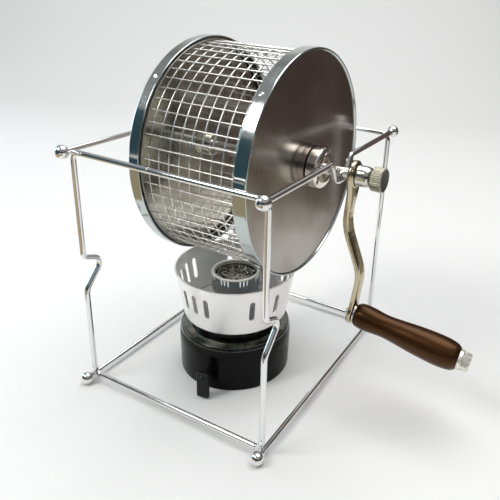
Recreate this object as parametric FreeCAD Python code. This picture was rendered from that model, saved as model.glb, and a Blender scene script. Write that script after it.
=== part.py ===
import FreeCAD, Part
import math
import os

# Hand cranked coffee roaster: a wire mesh drum turns in an open wire frame above a small
# gas burner. Units are millimetres. The origin is on the table in the middle of the frame,
# +Z is up, the drum axis runs along X and the crank is at +X.

Vector = FreeCAD.Vector
X_AXIS = Vector(1, 0, 0)
Y_AXIS = Vector(0, 1, 0)
Z_AXIS = Vector(0, 0, 1)

# Frame
wire_d = 3.4              # chromed steel wire of the whole frame
loop_width = 128.0        # leg to leg, along X, on the wire's middle line
loop_spacing = 155.6      # front loop to back loop, along Y
loop_height = 149.4       # bottom wire to top wire of a loop
corner_r = 5.0            # bend of a loop's corners
ball_d = 8.0              # balls on the ends of the cross wires
ball_reach = 6.1          # ball centre past the loop
ball_grip = 2.6           # wire inside a ball's drilled hole
weld_gap = 0.04           # wires that are welded where they cross
joint_x = -9.0            # butt joint in a loop's top run
joint_gap = 0.25
kink_depth = 14.8         # inward kink in each front leg, to the corner before it is rounded
kink_top_z = 89.0
kink_tip_z = 83.0
kink_low_z = 66.5
kink_tip_r = 5.0
kink_root_r = 4.0
notch_mouth = 24.0        # U notch that carries the shaft, width between its top bends
notch_floor = 10.0
notch_top_r = 4.0
notch_floor_r = 6.0

# Drum
axis_z = 148.0
shaft_d = 6.4
seat_gap = 0.1            # shaft to the wire it lies on
cap_d = 136.0
sheet = 0.8               # stainless sheet of the caps and bands
cap_rim = 8.0             # depth of the right cap's rim
lid_rim = 6.8
rim_gap = 1.0             # rims stand off the bands, all round
bead_w = 1.6              # raised edge round a cap's face
bead_h = 1.2
drum_right = 44.5         # outer edge of the right cap
drum_length = 77.0
band_peek = 0.6           # part of a band that shows past the rim
rod_d = 0.9
rod_count = 60
ring_pitch = 6.9
end_play = 0.3            # rods to a cap's inside face
rivet_d = 3.0
rivet_h = 0.7
rivet_count = 4
dimple_d = 4.4            # dimples in the lid's rim, pressed inwards to bear on the band
dimple_tip_d = 1.6
dimple_dent = 0.5
bear_gap = 0.1

# Hub on the right cap and bush in the lid
hub_d = 24.8
hub_base = 3.8
hub_groove = 0.8
hub_groove_depth = 1.5
hub_straight = 5.2        # from the groove to the rounding
hub_nose = 7.8            # from the groove to the end
hub_nose_d = 14.0
hub_screw_x = 2.6         # from the groove
bush_d = 14.0
bush_flange_d = 20.0
bush_flange = 1.2
bush_length = 6.0
press_gap = 0.03          # pieces fixed to each other, radial
run_gap = 0.08            # turning and sliding fits, radial
set_screw_d = 3.0
hub_set_screw_l = 4.0
arm_set_screw_l = 2.9
screw_turn = 25.0         # degrees the set screws point forward of straight down
shaft_left = -71.0

# Crank
arm_x = 73.6              # middle of the arm's upper part
arm_t = 4.0
arm_head_d = 17.0
arm_waist_d = 9.4
arm_eye_d = 14.4
waist_drop = 24.0         # shaft axis to the narrow part
waist_rise = 14.0         # eye to the narrow part
crank_r = 89.3            # shaft axis to grip pin
arm_lean = 7.0            # degrees, lower part of the arm and so the grip's droop
sweep_in = (-2.3, 31.0)   # the arm's sweep: sideways from arm_x, down from the shaft axis
sweep_out = (9.8, 61.0)
sweep_start = 9.0
sweep_radii = [60.0, 34.0, 26.0]
boss_d = 12.4
boss_length = 9.4
boss_straight = 6.2
boss_nose_d = 8.4
boss_screw_x = 3.2        # from the arm's face
thumb_nut_d = 14.2
thumb_nut_l = 7.2
thumb_nut_edge = 0.6
thumb_nut_gap = 0.1
knurl_count = 36
knurl_depth = 0.35
stud_d = 5.0
stud_l = 5.0
pin_d = 5.0
pin_head_d = 9.0
pin_head_h = 1.6
washer_t = 0.9
arm_washer_d = 11.5
ferrule_t = 2.2
ferrule_d = 12.5
grip_play = 0.15
grip_l = 66.0
grip_bulb_d = 15.9
grip_neck_d = 14.2
grip_swell_d = 18.6
grip_end_d = 15.0
cap_nut_af = 10.0
cap_nut_l = 5.0
cap_nut_bore = 3.8
cap_nut_chamfer = 1.4

# Burner
burner_x = -1.0
burner_y = -10.0
base_d = 75.0
base_h = 31.6
base_taper = 0.5          # wall draws in to the foot, on the radius
base_wall = 2.5
base_round = 1.6
shoulder_h = 6.6          # rounded shoulder below the lip
lip_in = 1.8              # lip's crest inside the wall
ledge_w = 8.5             # wall to neck
ledge_drop = 1.3          # dished ledge below the lip's crest
deck_z = 40.2
deck_t = 2.0
cover_t = 1.6
cover_fit = 0.1
tank_clear = 4.5          # tank to the inside of the wall
tank_top = 21.5
refill_d = 8.0
refill_l = 5.0
valve_angle = -81.0       # degrees round the burner, 0 at +X
valve_z = 15.0
valve_d = 11.0
valve_bore = 9.0
valve_gap = 0.2           # valve body to the inside of the wall
riser_clear = 3.0         # riser tube to the inside of the neck
riser_in = 2.5            # riser from the valve body's inner end
stem_d = 5.0
lever_stand = 7.5         # paddle out from the wall
lever_t = 3.0
lever_w = 8.0
lever_down = 14.2
lever_corner = 0.5
lever_screw_d = 3.0
lever_screw_l = 4.5
lever_screw_head_d = 4.6
gas_tube_d = 2.8
gas_tube_z = 30.0
jet_d = 5.0
jet_l = 8.0
tube_d = 13.0
tube_wall = 1.0
tube_flange_d = 20.0
tube_flange = 1.4
tube_drop = 7.0
air_hole_d = 4.0
head_d = 32.0
head_top = 69.2
head_h = 17.0
head_wall = 1.0
head_mouth = 3.0
shield_foot_d = 67.8
shield_top_d = 78.8
shield_top = 73.1
shield_t = 0.8
shield_bead = 0.7
slot_groups = 5
slots_in_group = 3
slot_group_angle = -98.0
slot_step = 13.5
slot_z = 58.5
slot_h = 14.3
slot_w = 3.5
screw_d = 3.0
screw_head_d = 5.0
screw_head_h = 1.5
shield_screw_in = 3.5     # screw ring inside the neck's wall
cover_screw_in = 4.0      # screw ring inside the tank's edge
cover_screw_l = 3.5       # thread in the tank
screw_count = 3

# Worked out from the sizes above
wire_r = wire_d / 2
shaft_r = shaft_d / 2
leg_x = loop_width / 2
loop_y = loop_spacing / 2
nest = (wire_d + weld_gap - corner_r * (math.sqrt(2) - 1)) / math.sqrt(2)
cross_low = ball_d / 2
loop_low = cross_low + nest
loop_top = loop_low + loop_height
cross_top = loop_top + nest
cross_x = leg_x + nest
ball_y = loop_y + ball_reach
cap_r = cap_d / 2
drum_left = drum_right - drum_length
right_face = drum_right - bead_h
left_face = drum_left + bead_h
band_r = cap_r - sheet - rim_gap
rod_r = band_r - sheet - press_gap - rod_d / 2
eye_z = axis_z - crank_r
lean = math.radians(arm_lean)
grip_axis = Vector(math.cos(lean), 0, -math.sin(lean))
screw_turn_rad = math.radians(screw_turn)
screw_down = Vector(0, -math.sin(screw_turn_rad), -math.cos(screw_turn_rad))

parts = {}


def turned(points, base=Vector(0, 0, 0), axis=Z_AXIS):
    """Solid of revolution. points are (radius, height) along the axis from base."""
    outline = Part.makePolygon([Vector(r, 0, h) for r, h in points + points[:1]])
    solid = Part.Face(outline).revolve(Vector(0, 0, 0), Z_AXIS, 360)
    return placed(solid, base, axis)


def placed(shape, base, axis):
    """Moves a shape made on +Z from the origin to base, pointing along axis."""
    shape.Placement = FreeCAD.Placement(base, FreeCAD.Rotation(Z_AXIS, axis))
    return shape


def cylinder(diameter, length, base, axis=Z_AXIS):
    return Part.makeCylinder(diameter / 2, length, base, axis)


def bent_path(points, radii):
    """Straight runs joined by tangent arcs: one radius for each inner point."""
    edges = []
    start = points[0]
    for before, corner, after, radius in zip(points, points[1:], points[2:], radii):
        back = (before - corner).normalize()
        ahead = (after - corner).normalize()
        half = back.getAngle(ahead) / 2
        reach = radius / math.tan(half)
        middle = (back + ahead).normalize() * (radius / math.sin(half) - radius)
        arc_start = corner + back * reach
        arc_end = corner + ahead * reach
        edges.append(Part.LineSegment(start, arc_start).toShape())
        edges.append(Part.Arc(arc_start, corner + middle, arc_end).toShape())
        start = arc_end
    edges.append(Part.LineSegment(start, points[-1]).toShape())
    return Part.Wire(edges)


def bent_wire(points, radii, diameter):
    path = bent_path(points, radii)
    ring = Part.makeCircle(diameter / 2, points[0], points[1] - points[0])
    return path.makePipeShell([Part.Wire([ring])], True, False)


def tangent_link(y1, z1, r1, y2, z2, r2):
    """Flat outline in the YZ plane: the hull of two circles, the first one higher."""
    gap = z1 - z2
    tilt = math.asin((r1 - r2) / gap)
    cos, sin = math.cos(tilt), math.sin(tilt)
    high = [Vector(0, y1 + side * r1 * cos, z1 + r1 * -sin) for side in (-1, 1)]
    low = [Vector(0, y2 + side * r2 * cos, z2 + r2 * -sin) for side in (-1, 1)]
    edges = [
        Part.Arc(high[0], Vector(0, y1, z1 + r1), high[1]).toShape(),
        Part.LineSegment(high[1], low[1]).toShape(),
        Part.Arc(low[1], Vector(0, y2, z2 - r2), low[0]).toShape(),
        Part.LineSegment(low[0], high[0]).toShape(),
    ]
    return Part.Face(Part.Wire(edges))


def ring_places(count, radius, first_angle=0.0):
    for i in range(count):
        angle = math.radians(first_angle + 360.0 * i / count)
        yield angle, radius * math.cos(angle), radius * math.sin(angle)


# Frame: two bent loops, four cross wires and eight balls


def loop(y, kinked):
    """One wire bent into an upright rectangle, its ends meeting in a joint in its top run."""
    inward = -math.copysign(1.0, y)
    left, right = -leg_x, leg_x

    def kink(x):
        return [
            Vector(x, y, kink_top_z),
            Vector(x, y + inward * kink_depth, kink_tip_z),
            Vector(x, y, kink_low_z),
        ]

    points = [Vector(joint_x, y, loop_top), Vector(right, y, loop_top)]
    radii = [corner_r]
    if kinked:
        points += kink(right)
        radii += [kink_root_r, kink_tip_r, kink_root_r]
    points += [Vector(right, y, loop_low), Vector(left, y, loop_low)]
    radii += [corner_r, corner_r]
    if kinked:
        points += kink(left)[::-1]
        radii += [kink_root_r, kink_tip_r, kink_root_r]
    points += [Vector(left, y, loop_top), Vector(joint_x - joint_gap, y, loop_top)]
    radii += [corner_r]
    return bent_wire(points, radii, wire_d)


def cross_wire(x, z):
    end = ball_y - ball_d / 2 + ball_grip
    return cylinder(wire_d, 2 * end, Vector(x, -end, z), Y_AXIS)


def notched_wire(x):
    """Top cross wire with the U notch that the shaft lies in."""
    end = ball_y - ball_d / 2 + ball_grip
    floor_z = axis_z - shaft_r - seat_gap - wire_r
    points = [
        Vector(x, -end, cross_top),
        Vector(x, -notch_mouth / 2, cross_top),
        Vector(x, -notch_floor / 2, floor_z),
        Vector(x, notch_floor / 2, floor_z),
        Vector(x, notch_mouth / 2, cross_top),
        Vector(x, end, cross_top),
    ]
    return bent_wire(points, [notch_top_r, notch_floor_r, notch_floor_r, notch_top_r], wire_d)


def balls(z):
    """Four drilled balls, one on each end of the two cross wires at this height."""
    solids = []
    for x in (-cross_x, cross_x):
        for side in (-1, 1):
            centre = Vector(x, side * ball_y, z)
            mouth = centre - Y_AXIS * (side * ball_d / 2)
            hole = cylinder(wire_d + 2 * press_gap, ball_grip + press_gap, mouth, Y_AXIS * side)
            solids.append(Part.makeSphere(ball_d / 2, centre).cut(hole))
    return Part.makeCompound(solids)


parts["front_loop"] = loop(-loop_y, True)
parts["back_loop"] = loop(loop_y, False)
parts["top_wire_right"] = notched_wire(cross_x)
parts["top_wire_left"] = notched_wire(-cross_x)
parts["bottom_wire_right"] = cross_wire(cross_x, cross_low)
parts["bottom_wire_left"] = cross_wire(-cross_x, cross_low)
parts["top_balls"] = balls(cross_top)
parts["foot_balls"] = balls(cross_low)


# Drum: mesh, two bands, the fixed right cap and the pull off lid


def cap(face, way, hole_d, rim_depth):
    """Pressed pan: a flat face inside a raised edge, and a rim that reaches back over the mesh.

    face is the x of the outside face, way is +1 when that side looks to +X.
    """
    inner = cap_r - sheet
    points = [
        (hole_d / 2, 0),
        (cap_r - bead_w, 0),
        (cap_r - bead_w + 0.5 * bead_h, bead_h),
        (cap_r - 0.4 * bead_h, bead_h),
        (cap_r, 0.4 * bead_h),
        (cap_r, bead_h - rim_depth),
        (inner, bead_h - rim_depth),
        (inner, -sheet),
        (hole_d / 2, -sheet),
    ]
    return turned(points, Vector(face, 0, axis_z), X_AXIS * way)


def band(start, length):
    """Flat hoop round an end of the mesh."""
    base = Vector(start, 0, axis_z)
    outer = cylinder(2 * band_r, length, base, X_AXIS)
    return outer.cut(cylinder(2 * (band_r - sheet), length, base, X_AXIS))


mesh_start = left_face + sheet + end_play
mesh_end = right_face - sheet
left_band_l = drum_left + lid_rim + band_peek - mesh_start
right_band_l = mesh_end - (drum_right - cap_rim - band_peek)

rods = []
for angle, y, z in ring_places(rod_count, rod_r):
    rods.append(cylinder(rod_d, mesh_end - mesh_start, Vector(mesh_start, y, axis_z + z), X_AXIS))
parts["mesh_rods"] = Part.makeCompound(rods)

ring_outer = rod_r - rod_d / 2 - weld_gap
ring_count = int((mesh_end - mesh_start - rod_d) / ring_pitch) + 1
first_ring = (mesh_start + mesh_end - ring_pitch * (ring_count - 1) - rod_d) / 2
rings = []
for i in range(ring_count):
    base = Vector(first_ring + i * ring_pitch, 0, axis_z)
    outer = cylinder(2 * ring_outer, rod_d, base, X_AXIS)
    rings.append(outer.cut(cylinder(2 * (ring_outer - rod_d), rod_d, base, X_AXIS)))
parts["mesh_rings"] = Part.makeCompound(rings)

parts["band_left"] = band(mesh_start, left_band_l)
right_band = band(mesh_end - right_band_l, right_band_l)

# Shouldered rivets: the shoulder fills the gap between the rim and the band
right_cap = cap(right_face, 1, shaft_d + 2 * press_gap, cap_rim)
rivet_x = drum_right - (cap_rim + bead_h) / 2
rivet_r = rivet_d / 2
shank_r = rivet_r / 2
shank_l = rim_gap + 2 * sheet
rivet = [
    (0, -shank_l),
    (shank_r, -shank_l),
    (shank_r, -sheet - rim_gap),
    (rivet_r, -sheet - rim_gap),
    (rivet_r, -sheet - 2 * press_gap),
    (shank_r, -sheet - 2 * press_gap),
    (shank_r, 0),
    (rivet_r, 0),
    (0.8 * rivet_r, 0.7 * rivet_h),
    (shank_r, rivet_h),
    (0, rivet_h),
]
rivets = []
for angle, y, z in ring_places(rivet_count, 1.0, 45.0):
    out = Vector(0, y, z)
    inside = Vector(rivet_x, 0, axis_z) + out * (band_r - 2 * sheet)
    hole = cylinder(2 * (shank_r + press_gap), shank_l + 2 * sheet, inside, out)
    right_cap = right_cap.cut(hole)
    right_band = right_band.cut(hole)
    rivets.append(turned(rivet, Vector(rivet_x, 0, axis_z) + out * (cap_r + press_gap), out))
parts["band_right"] = right_band
parts["right_cap"] = right_cap
parts["cap_rivets"] = Part.makeCompound(rivets)

lid = cap(left_face, -1, bush_d + 2 * press_gap, lid_rim)
rim_inside = cap_r - sheet
dimple_low = rim_inside - band_r - bear_gap
dimple = [
    (0, -dimple_low),
    (dimple_tip_d / 2, -dimple_low),
    (dimple_d / 2, 0),
    (dimple_d / 2, dimple_dent / 2),
    (0, dimple_dent / 2),
]
dent = [(0, 0), (dimple_d / 2, sheet), (0, sheet)]
for angle, y, z in ring_places(rivet_count, 1.0, 45.0):
    out = Vector(0, y, z)
    spot = Vector(drum_left + (lid_rim + bead_h) / 2, 0, axis_z) + out * rim_inside
    lid = lid.fuse(turned(dimple, spot, out))
    lid = lid.cut(turned(dent, spot + out * (sheet - dimple_dent), out))
parts["lid"] = lid

bore = shaft_d / 2 + run_gap
bush = [
    (bore, bush_flange),
    (bush_flange_d / 2 - 0.4, bush_flange),
    (bush_flange_d / 2, bush_flange - 0.4),
    (bush_flange_d / 2, 0),
    (bush_d / 2, 0),
    (bush_d / 2, -bush_length),
    (bore, -bush_length),
]
parts["lid_bush"] = turned(bush, Vector(left_face, 0, axis_z), X_AXIS * -1)

# Hub: turned steel, a base, a groove and a rounded nose
hub_r = hub_d / 2
hub_bore = shaft_r + press_gap
nose_start = hub_base + hub_groove
hub = [
    (hub_bore, 0),
    (hub_r, 0),
    (hub_r, hub_base),
    (hub_r - hub_groove_depth, hub_base),
    (hub_r - hub_groove_depth, nose_start),
    (hub_r, nose_start),
]
nose_steps = 6
for i in range(nose_steps + 1):
    turn = math.radians(90.0 * i / nose_steps)
    radius = hub_nose_d / 2 + (hub_r - hub_nose_d / 2) * math.cos(turn)
    rise = hub_straight + (hub_nose - hub_straight) * math.sin(turn)
    hub.append((radius, nose_start + rise))
hub.append((hub_bore, nose_start + hub_nose))
drive_hub = turned(hub, Vector(right_face, 0, axis_z), X_AXIS)


def set_screw(x, length, hole_l, direction):
    """Socket set screw in a radial hole, its tip on the shaft."""
    tip = Vector(x, 0, axis_z) + direction * (shaft_r + press_gap)
    screw = cylinder(set_screw_d, length, tip, direction)
    flats = set_screw_d * 0.3
    corners = [(flats * math.cos(math.radians(a)), flats * math.sin(math.radians(a)))
               for a in range(0, 361, 60)]
    hexagon = Part.Face(Part.makePolygon([Vector(a, b, 0) for a, b in corners]))
    socket = placed(hexagon.extrude(Z_AXIS * length), tip + direction * (length / 2), direction)
    hole = cylinder(set_screw_d + 2 * press_gap, hole_l, Vector(x, 0, axis_z), direction)
    return screw.cut(socket), hole


hub_screw, hub_hole = set_screw(
    right_face + nose_start + hub_screw_x, hub_set_screw_l, hub_d, screw_down)
parts["hub_set_screw"] = hub_screw
parts["drive_hub"] = drive_hub.cut(hub_hole)

boss_end = arm_x + arm_t / 2 + boss_length
shaft = [
    (0, shaft_left),
    (shaft_r - 0.8, shaft_left),
    (shaft_r, shaft_left + 0.8),
    (shaft_r, boss_end),
    (stud_d / 2, boss_end),
    (stud_d / 2, boss_end + stud_l),
    (0, boss_end + stud_l),
]
parts["shaft"] = turned(shaft, Vector(0, 0, axis_z), X_AXIS)

# Crank: a cast arm with a side to side sweep, cut to its front outline
low_out = sweep_out[0] - (crank_r - sweep_out[1] + arm_eye_d) * math.tan(lean)
arm_path = bent_path(
    [
        Vector(arm_x, 0, axis_z + arm_head_d),
        Vector(arm_x, 0, axis_z - sweep_start),
        Vector(arm_x + sweep_in[0], 0, axis_z - sweep_in[1]),
        Vector(arm_x + sweep_out[0], 0, axis_z - sweep_out[1]),
        Vector(arm_x + low_out, 0, eye_z - arm_eye_d),
    ],
    sweep_radii,
)
strip_end = Part.makePolygon([
    Vector(arm_x - arm_t / 2, -arm_head_d, axis_z + arm_head_d),
    Vector(arm_x + arm_t / 2, -arm_head_d, axis_z + arm_head_d),
    Vector(arm_x + arm_t / 2, arm_head_d, axis_z + arm_head_d),
    Vector(arm_x - arm_t / 2, arm_head_d, axis_z + arm_head_d),
    Vector(arm_x - arm_t / 2, -arm_head_d, axis_z + arm_head_d),
])
strip = arm_path.makePipeShell([strip_end], True, False)
waist_high = axis_z - waist_drop
waist_low = eye_z + waist_rise
front = tangent_link(0, axis_z, arm_head_d / 2, 0, waist_high, arm_waist_d / 2)
front = front.fuse(tangent_link(0, waist_high, arm_waist_d / 2, 0, waist_low, arm_waist_d / 2))
front = front.fuse(tangent_link(0, waist_low, arm_waist_d / 2, 0, eye_z, arm_eye_d / 2))
front = front.removeSplitter()
front_block = front.extrude(X_AXIS * 2 * arm_x)
arm = strip.common(front_block)

boss_r = boss_d / 2
boss = [
    (0, 0),
    (boss_r, 0),
    (boss_r, arm_t / 2 + boss_straight),
    ((boss_r + boss_nose_d / 2) / 2 + 0.6, arm_t / 2 + (boss_straight + boss_length) / 2 + 0.4),
    (boss_nose_d / 2, arm_t / 2 + boss_length),
    (0, arm_t / 2 + boss_length),
]
arm = arm.fuse(turned(boss, Vector(arm_x, 0, axis_z), X_AXIS))
arm = arm.cut(cylinder(shaft_d + 2 * press_gap, arm_x, Vector(arm_x / 2, 0, axis_z), X_AXIS))
eye_x = arm_x + sweep_out[0] - (crank_r - sweep_out[1]) * math.tan(lean)
eye = Vector(eye_x, 0, eye_z)
arm = arm.cut(cylinder(pin_d + 2 * press_gap, 4 * arm_t, eye - grip_axis * 2 * arm_t, grip_axis))
arm_screw, arm_hole = set_screw(
    arm_x + arm_t / 2 + boss_screw_x, arm_set_screw_l, boss_d, screw_down)
parts["arm_set_screw"] = arm_screw
parts["crank_arm"] = arm.cut(arm_hole).removeSplitter()

# Thumb nut: knurled, blind, on the threaded end of the shaft
nut_r = thumb_nut_d / 2
nut = turned(
    [
        (stud_d / 2 + run_gap, 0),
        (nut_r - thumb_nut_edge, 0),
        (nut_r, thumb_nut_edge),
        (nut_r, thumb_nut_l - thumb_nut_edge),
        (nut_r - thumb_nut_edge, thumb_nut_l),
        (0, thumb_nut_l),
        (0, stud_l + thumb_nut_gap),
        (stud_d / 2 + run_gap, stud_l + thumb_nut_gap),
    ],
    Vector(boss_end + thumb_nut_gap, 0, axis_z),
    X_AXIS,
)
grooves = []
groove_w = 2 * math.sqrt(2) * knurl_depth
for angle, y, z in ring_places(knurl_count, nut_r + knurl_depth):
    groove = Part.makeBox(thumb_nut_l + 1, groove_w, groove_w)
    groove.translate(Vector(0, -groove_w / 2, -groove_w / 2))
    groove.rotate(Vector(0, 0, 0), X_AXIS, math.degrees(angle) + 45)
    groove.translate(Vector(boss_end, y, axis_z + z))
    grooves.append(groove)
parts["thumb_nut"] = nut.cut(grooves)

# Grip and its pin, along the tilted grip axis from the eye of the arm


def along(distance):
    return eye + grip_axis * distance


def washer(distance, thickness, outer_d):
    hole = cylinder(pin_d + 2 * press_gap, thickness, along(distance), grip_axis)
    return cylinder(outer_d, thickness, along(distance), grip_axis).cut(hole)


grip_start = arm_t / 2 + washer_t + grip_play
grip_end = grip_start + grip_l
nut_start = grip_end + grip_play + ferrule_t
pin_end = nut_start + cap_nut_bore - press_gap

pin = [
    (0, -arm_t / 2 - pin_head_h),
    (pin_head_d * 0.28, -arm_t / 2 - pin_head_h),
    (pin_head_d / 2, -arm_t / 2 - 0.4 * pin_head_h),
    (pin_head_d / 2, -arm_t / 2),
    (pin_d / 2, -arm_t / 2),
    (pin_d / 2, pin_end),
    (0, pin_end),
]
parts["grip_pin"] = turned(pin, eye, grip_axis)
parts["arm_washer"] = washer(arm_t / 2, washer_t, arm_washer_d)
parts["end_washer"] = washer(grip_end + grip_play, ferrule_t, ferrule_d)


def grip_profile():
    """Bulb at the arm, neck, long swell and rounded shoulders, as a smooth outline."""
    stations = [
        (0.0, grip_bulb_d - 3.0),
        (0.03, grip_bulb_d - 0.8),
        (0.12, grip_bulb_d),
        (0.31, grip_neck_d),
        (0.60, grip_swell_d - 1.2),
        (0.84, grip_swell_d),
        (0.96, grip_end_d + 1.6),
        (1.0, grip_end_d - 1.6),
    ]
    points = [Vector(d / 2, 0, grip_start + s * grip_l) for s, d in stations]
    curve = Part.BSplineCurve()
    curve.interpolate(points)
    hole_r = pin_d / 2 + run_gap
    low = Vector(hole_r, 0, grip_start)
    high = Vector(hole_r, 0, grip_end)
    edges = [
        Part.LineSegment(low, points[0]).toShape(),
        curve.toShape(),
        Part.LineSegment(points[-1], high).toShape(),
        Part.LineSegment(high, low).toShape(),
    ]
    return Part.Face(Part.Wire(edges))


grip = grip_profile().revolve(Vector(0, 0, 0), Z_AXIS, 360)
parts["grip"] = placed(grip, eye, grip_axis)

hex_r = cap_nut_af / math.sqrt(3)
hex_corners = [Vector(hex_r * math.cos(math.radians(a)), hex_r * math.sin(math.radians(a)), 0)
               for a in range(0, 361, 60)]
cap_nut = Part.Face(Part.makePolygon(hex_corners)).extrude(Z_AXIS * cap_nut_l)
cap_nut_outline = [
    (0, 0),
    (hex_r, 0),
    (hex_r, cap_nut_l - cap_nut_chamfer),
    (hex_r - 1.6 * cap_nut_chamfer, cap_nut_l),
    (0, cap_nut_l),
]
cap_nut = cap_nut.common(turned(cap_nut_outline))
cap_nut = cap_nut.cut(Part.makeCylinder(pin_d / 2 + press_gap, cap_nut_bore))
parts["cap_nut"] = placed(cap_nut, along(nut_start), grip_axis)

# Burner: moulded base, gas tank, valve, mixing tube, head and windshield
centre = Vector(burner_x, burner_y, 0)


def at(z):
    return centre + Z_AXIS * z


base_r = base_d / 2
foot_r = base_r - base_taper
neck_r = base_r - ledge_w
tube_r = tube_d / 2
deck_hole = tube_r + press_gap
inside_r = foot_r - base_wall
neck_inside = neck_r - base_wall
ledge_z = base_h - ledge_drop
crest_r = base_r - lip_in
base_outline = [
    (inside_r, 0),
    (foot_r - 0.4 * base_round, 0),
    (foot_r, 0.4 * base_round),
    (base_r - 0.6 * base_taper, base_h / 3),
    (base_r, base_h - shoulder_h),
    (base_r - 0.12 * lip_in, base_h - 0.55 * shoulder_h),
    (base_r - 0.35 * lip_in, base_h - 0.22 * shoulder_h),
    (base_r - 0.65 * lip_in, base_h - 0.05 * shoulder_h),
    (crest_r, base_h),
    (crest_r - 0.5 * lip_in, base_h - 0.3 * ledge_drop),
    (crest_r - 1.2 * lip_in, ledge_z),
    (neck_r + lip_in, ledge_z + 0.2 * ledge_drop),
    (neck_r, base_h),
    (neck_r, deck_z),
    (deck_hole, deck_z),
    (deck_hole, deck_z - deck_t),
    (neck_inside, deck_z - deck_t),
    (neck_inside, ledge_z - base_wall),
    (inside_r, ledge_z - base_wall),
]
burner_base = turned(base_outline, centre)

valve_dir = Vector(math.cos(math.radians(valve_angle)), math.sin(math.radians(valve_angle)), 0)
valve_at = at(valve_z)
burner_base = burner_base.cut(cylinder(stem_d + 1.0, base_d, valve_at, valve_dir))

cover = cylinder(2 * (inside_r - cover_fit), cover_t, centre)
cover = cover.cut(cylinder(refill_d + 2 * press_gap, cover_t, centre))

tank_r = inside_r - tank_clear
riser_out = neck_inside - riser_clear
valve_in = riser_out - riser_in
valve_out = inside_r - valve_gap
pocket_w = valve_d + 2
tank = cylinder(2 * tank_r, tank_top - cover_t, at(cover_t))
tank = tank.cut(cylinder(refill_d + 2 * press_gap, refill_l, at(0)))
pocket = Part.makeBox(base_r, pocket_w, base_h)
pocket.translate(Vector(valve_in - 1.0, -pocket_w / 2, valve_z - valve_d / 2 - valve_gap))
pocket.rotate(Vector(0, 0, 0), Z_AXIS, valve_angle)
pocket.translate(centre)
tank = tank.cut(pocket)

cover_screws = []
cover_head_h = 0.6 * screw_head_h
for angle, x, y in ring_places(screw_count, tank_r - cover_screw_in, 40.0):
    place = centre + Vector(x, y, 0)
    cover = cover.cut(cylinder(screw_head_d + 0.2, cover_head_h, place))
    cover = cover.cut(cylinder(screw_d + 2 * press_gap, cover_t, place))
    tank = tank.cut(cylinder(screw_d + 2 * press_gap, cover_screw_l, place + Z_AXIS * cover_t))
    screw = cylinder(screw_head_d, cover_head_h, place)
    shank = cylinder(screw_d, cover_t + cover_screw_l, place)
    cover_screws.append(screw.fuse(shank).removeSplitter())
parts["burner_base"] = burner_base
parts["base_cover"] = cover
parts["gas_tank"] = tank
parts["cover_screws"] = Part.makeCompound(cover_screws)

refill = [
    (1.2, 0.2),
    (refill_d / 2 - 0.8, 0.2),
    (refill_d / 2, 0.8),
    (refill_d / 2, refill_l),
    (0, refill_l),
    (0, 2.2),
    (1.2, 2.2),
]
parts["refill_valve"] = turned(refill, centre)

# Valve body lies in the tank's pocket, its stem comes out through the wall of the base
stem_hole = stem_d / 2 + run_gap
valve_r = valve_d / 2
collar_l = 2.0
valve = [
    (0, valve_in),
    (valve_r - 1.0, valve_in),
    (valve_r, valve_in + 1.0),
    (valve_r, valve_out - collar_l),
    (valve_r - 1.5, valve_out - collar_l),
    (valve_r - 1.5, valve_out),
    (stem_hole, valve_out),
    (stem_hole, valve_out - valve_bore),
    (0, valve_out - valve_bore),
]
valve_body = turned(valve, valve_at, valve_dir)
riser_low = valve_z + valve_r - 1.5
riser = at(0) + valve_dir * riser_out
riser_hole = cylinder(gas_tube_d + 2 * press_gap, valve_d, riser + Z_AXIS * riser_low)
parts["valve_body"] = valve_body.cut(riser_hole)

jet_low = gas_tube_z + 4.0
parts["gas_tube"] = bent_wire(
    [riser + Z_AXIS * riser_low, riser + Z_AXIS * gas_tube_z, at(gas_tube_z), at(jet_low)],
    [3.5, 3.0],
    gas_tube_d,
)
jet = [
    (0, 0),
    (jet_d / 2, 0),
    (jet_d / 2, 0.55 * jet_l),
    (jet_d / 4, jet_l),
    (0.4, jet_l),
    (0.4, jet_l - 1.5),
    (0, jet_l - 1.5),
]
parts["gas_jet"] = turned(jet, at(jet_low))

lever_in = base_r + lever_stand
lever_out = lever_in + lever_t
stem_start = valve_out - valve_bore + 0.4
stem = [
    (0, lever_out - lever_screw_l - 0.5),
    (lever_screw_d / 2 + press_gap, lever_out - lever_screw_l - 0.5),
    (lever_screw_d / 2 + press_gap, lever_in + 0.5 * lever_t),
    (stem_d / 2, lever_in + 0.5 * lever_t),
    (stem_d / 2, stem_start),
    (0, stem_start),
]
stem = turned(stem, valve_at, valve_dir)
paddle = Part.makeBox(lever_t, lever_w, lever_down + lever_w / 2)
paddle.translate(Vector(0, -lever_w / 2, -lever_down))
paddle = paddle.makeChamfer(lever_corner, paddle.Edges)
collar = placed(Part.makeCone(stem_d / 2 + 0.3, lever_w / 2 - lever_corner, 2.0), X_AXIS * -1.8, X_AXIS)
paddle = paddle.fuse(collar)
paddle.translate(X_AXIS * lever_in)
paddle.rotate(Vector(0, 0, 0), Z_AXIS, valve_angle)
paddle.translate(valve_at)
paddle = paddle.fuse(stem)
screw_hole = cylinder(
    lever_screw_d + 2 * press_gap, lever_screw_l + lever_t,
    valve_at + valve_dir * (lever_out - lever_screw_l - 0.5), valve_dir)
parts["valve_lever"] = paddle.cut(screw_hole).removeSplitter()
screw_profile = [
    (0, lever_out - lever_screw_l),
    (lever_screw_d / 2, lever_out - lever_screw_l),
    (lever_screw_d / 2, lever_out),
    (lever_screw_head_d / 2, lever_out),
    (lever_screw_head_d / 2 * 0.7, lever_out + 0.9),
    (0, lever_out + 0.9),
]
parts["lever_screw"] = turned(screw_profile, valve_at, valve_dir)

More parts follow.
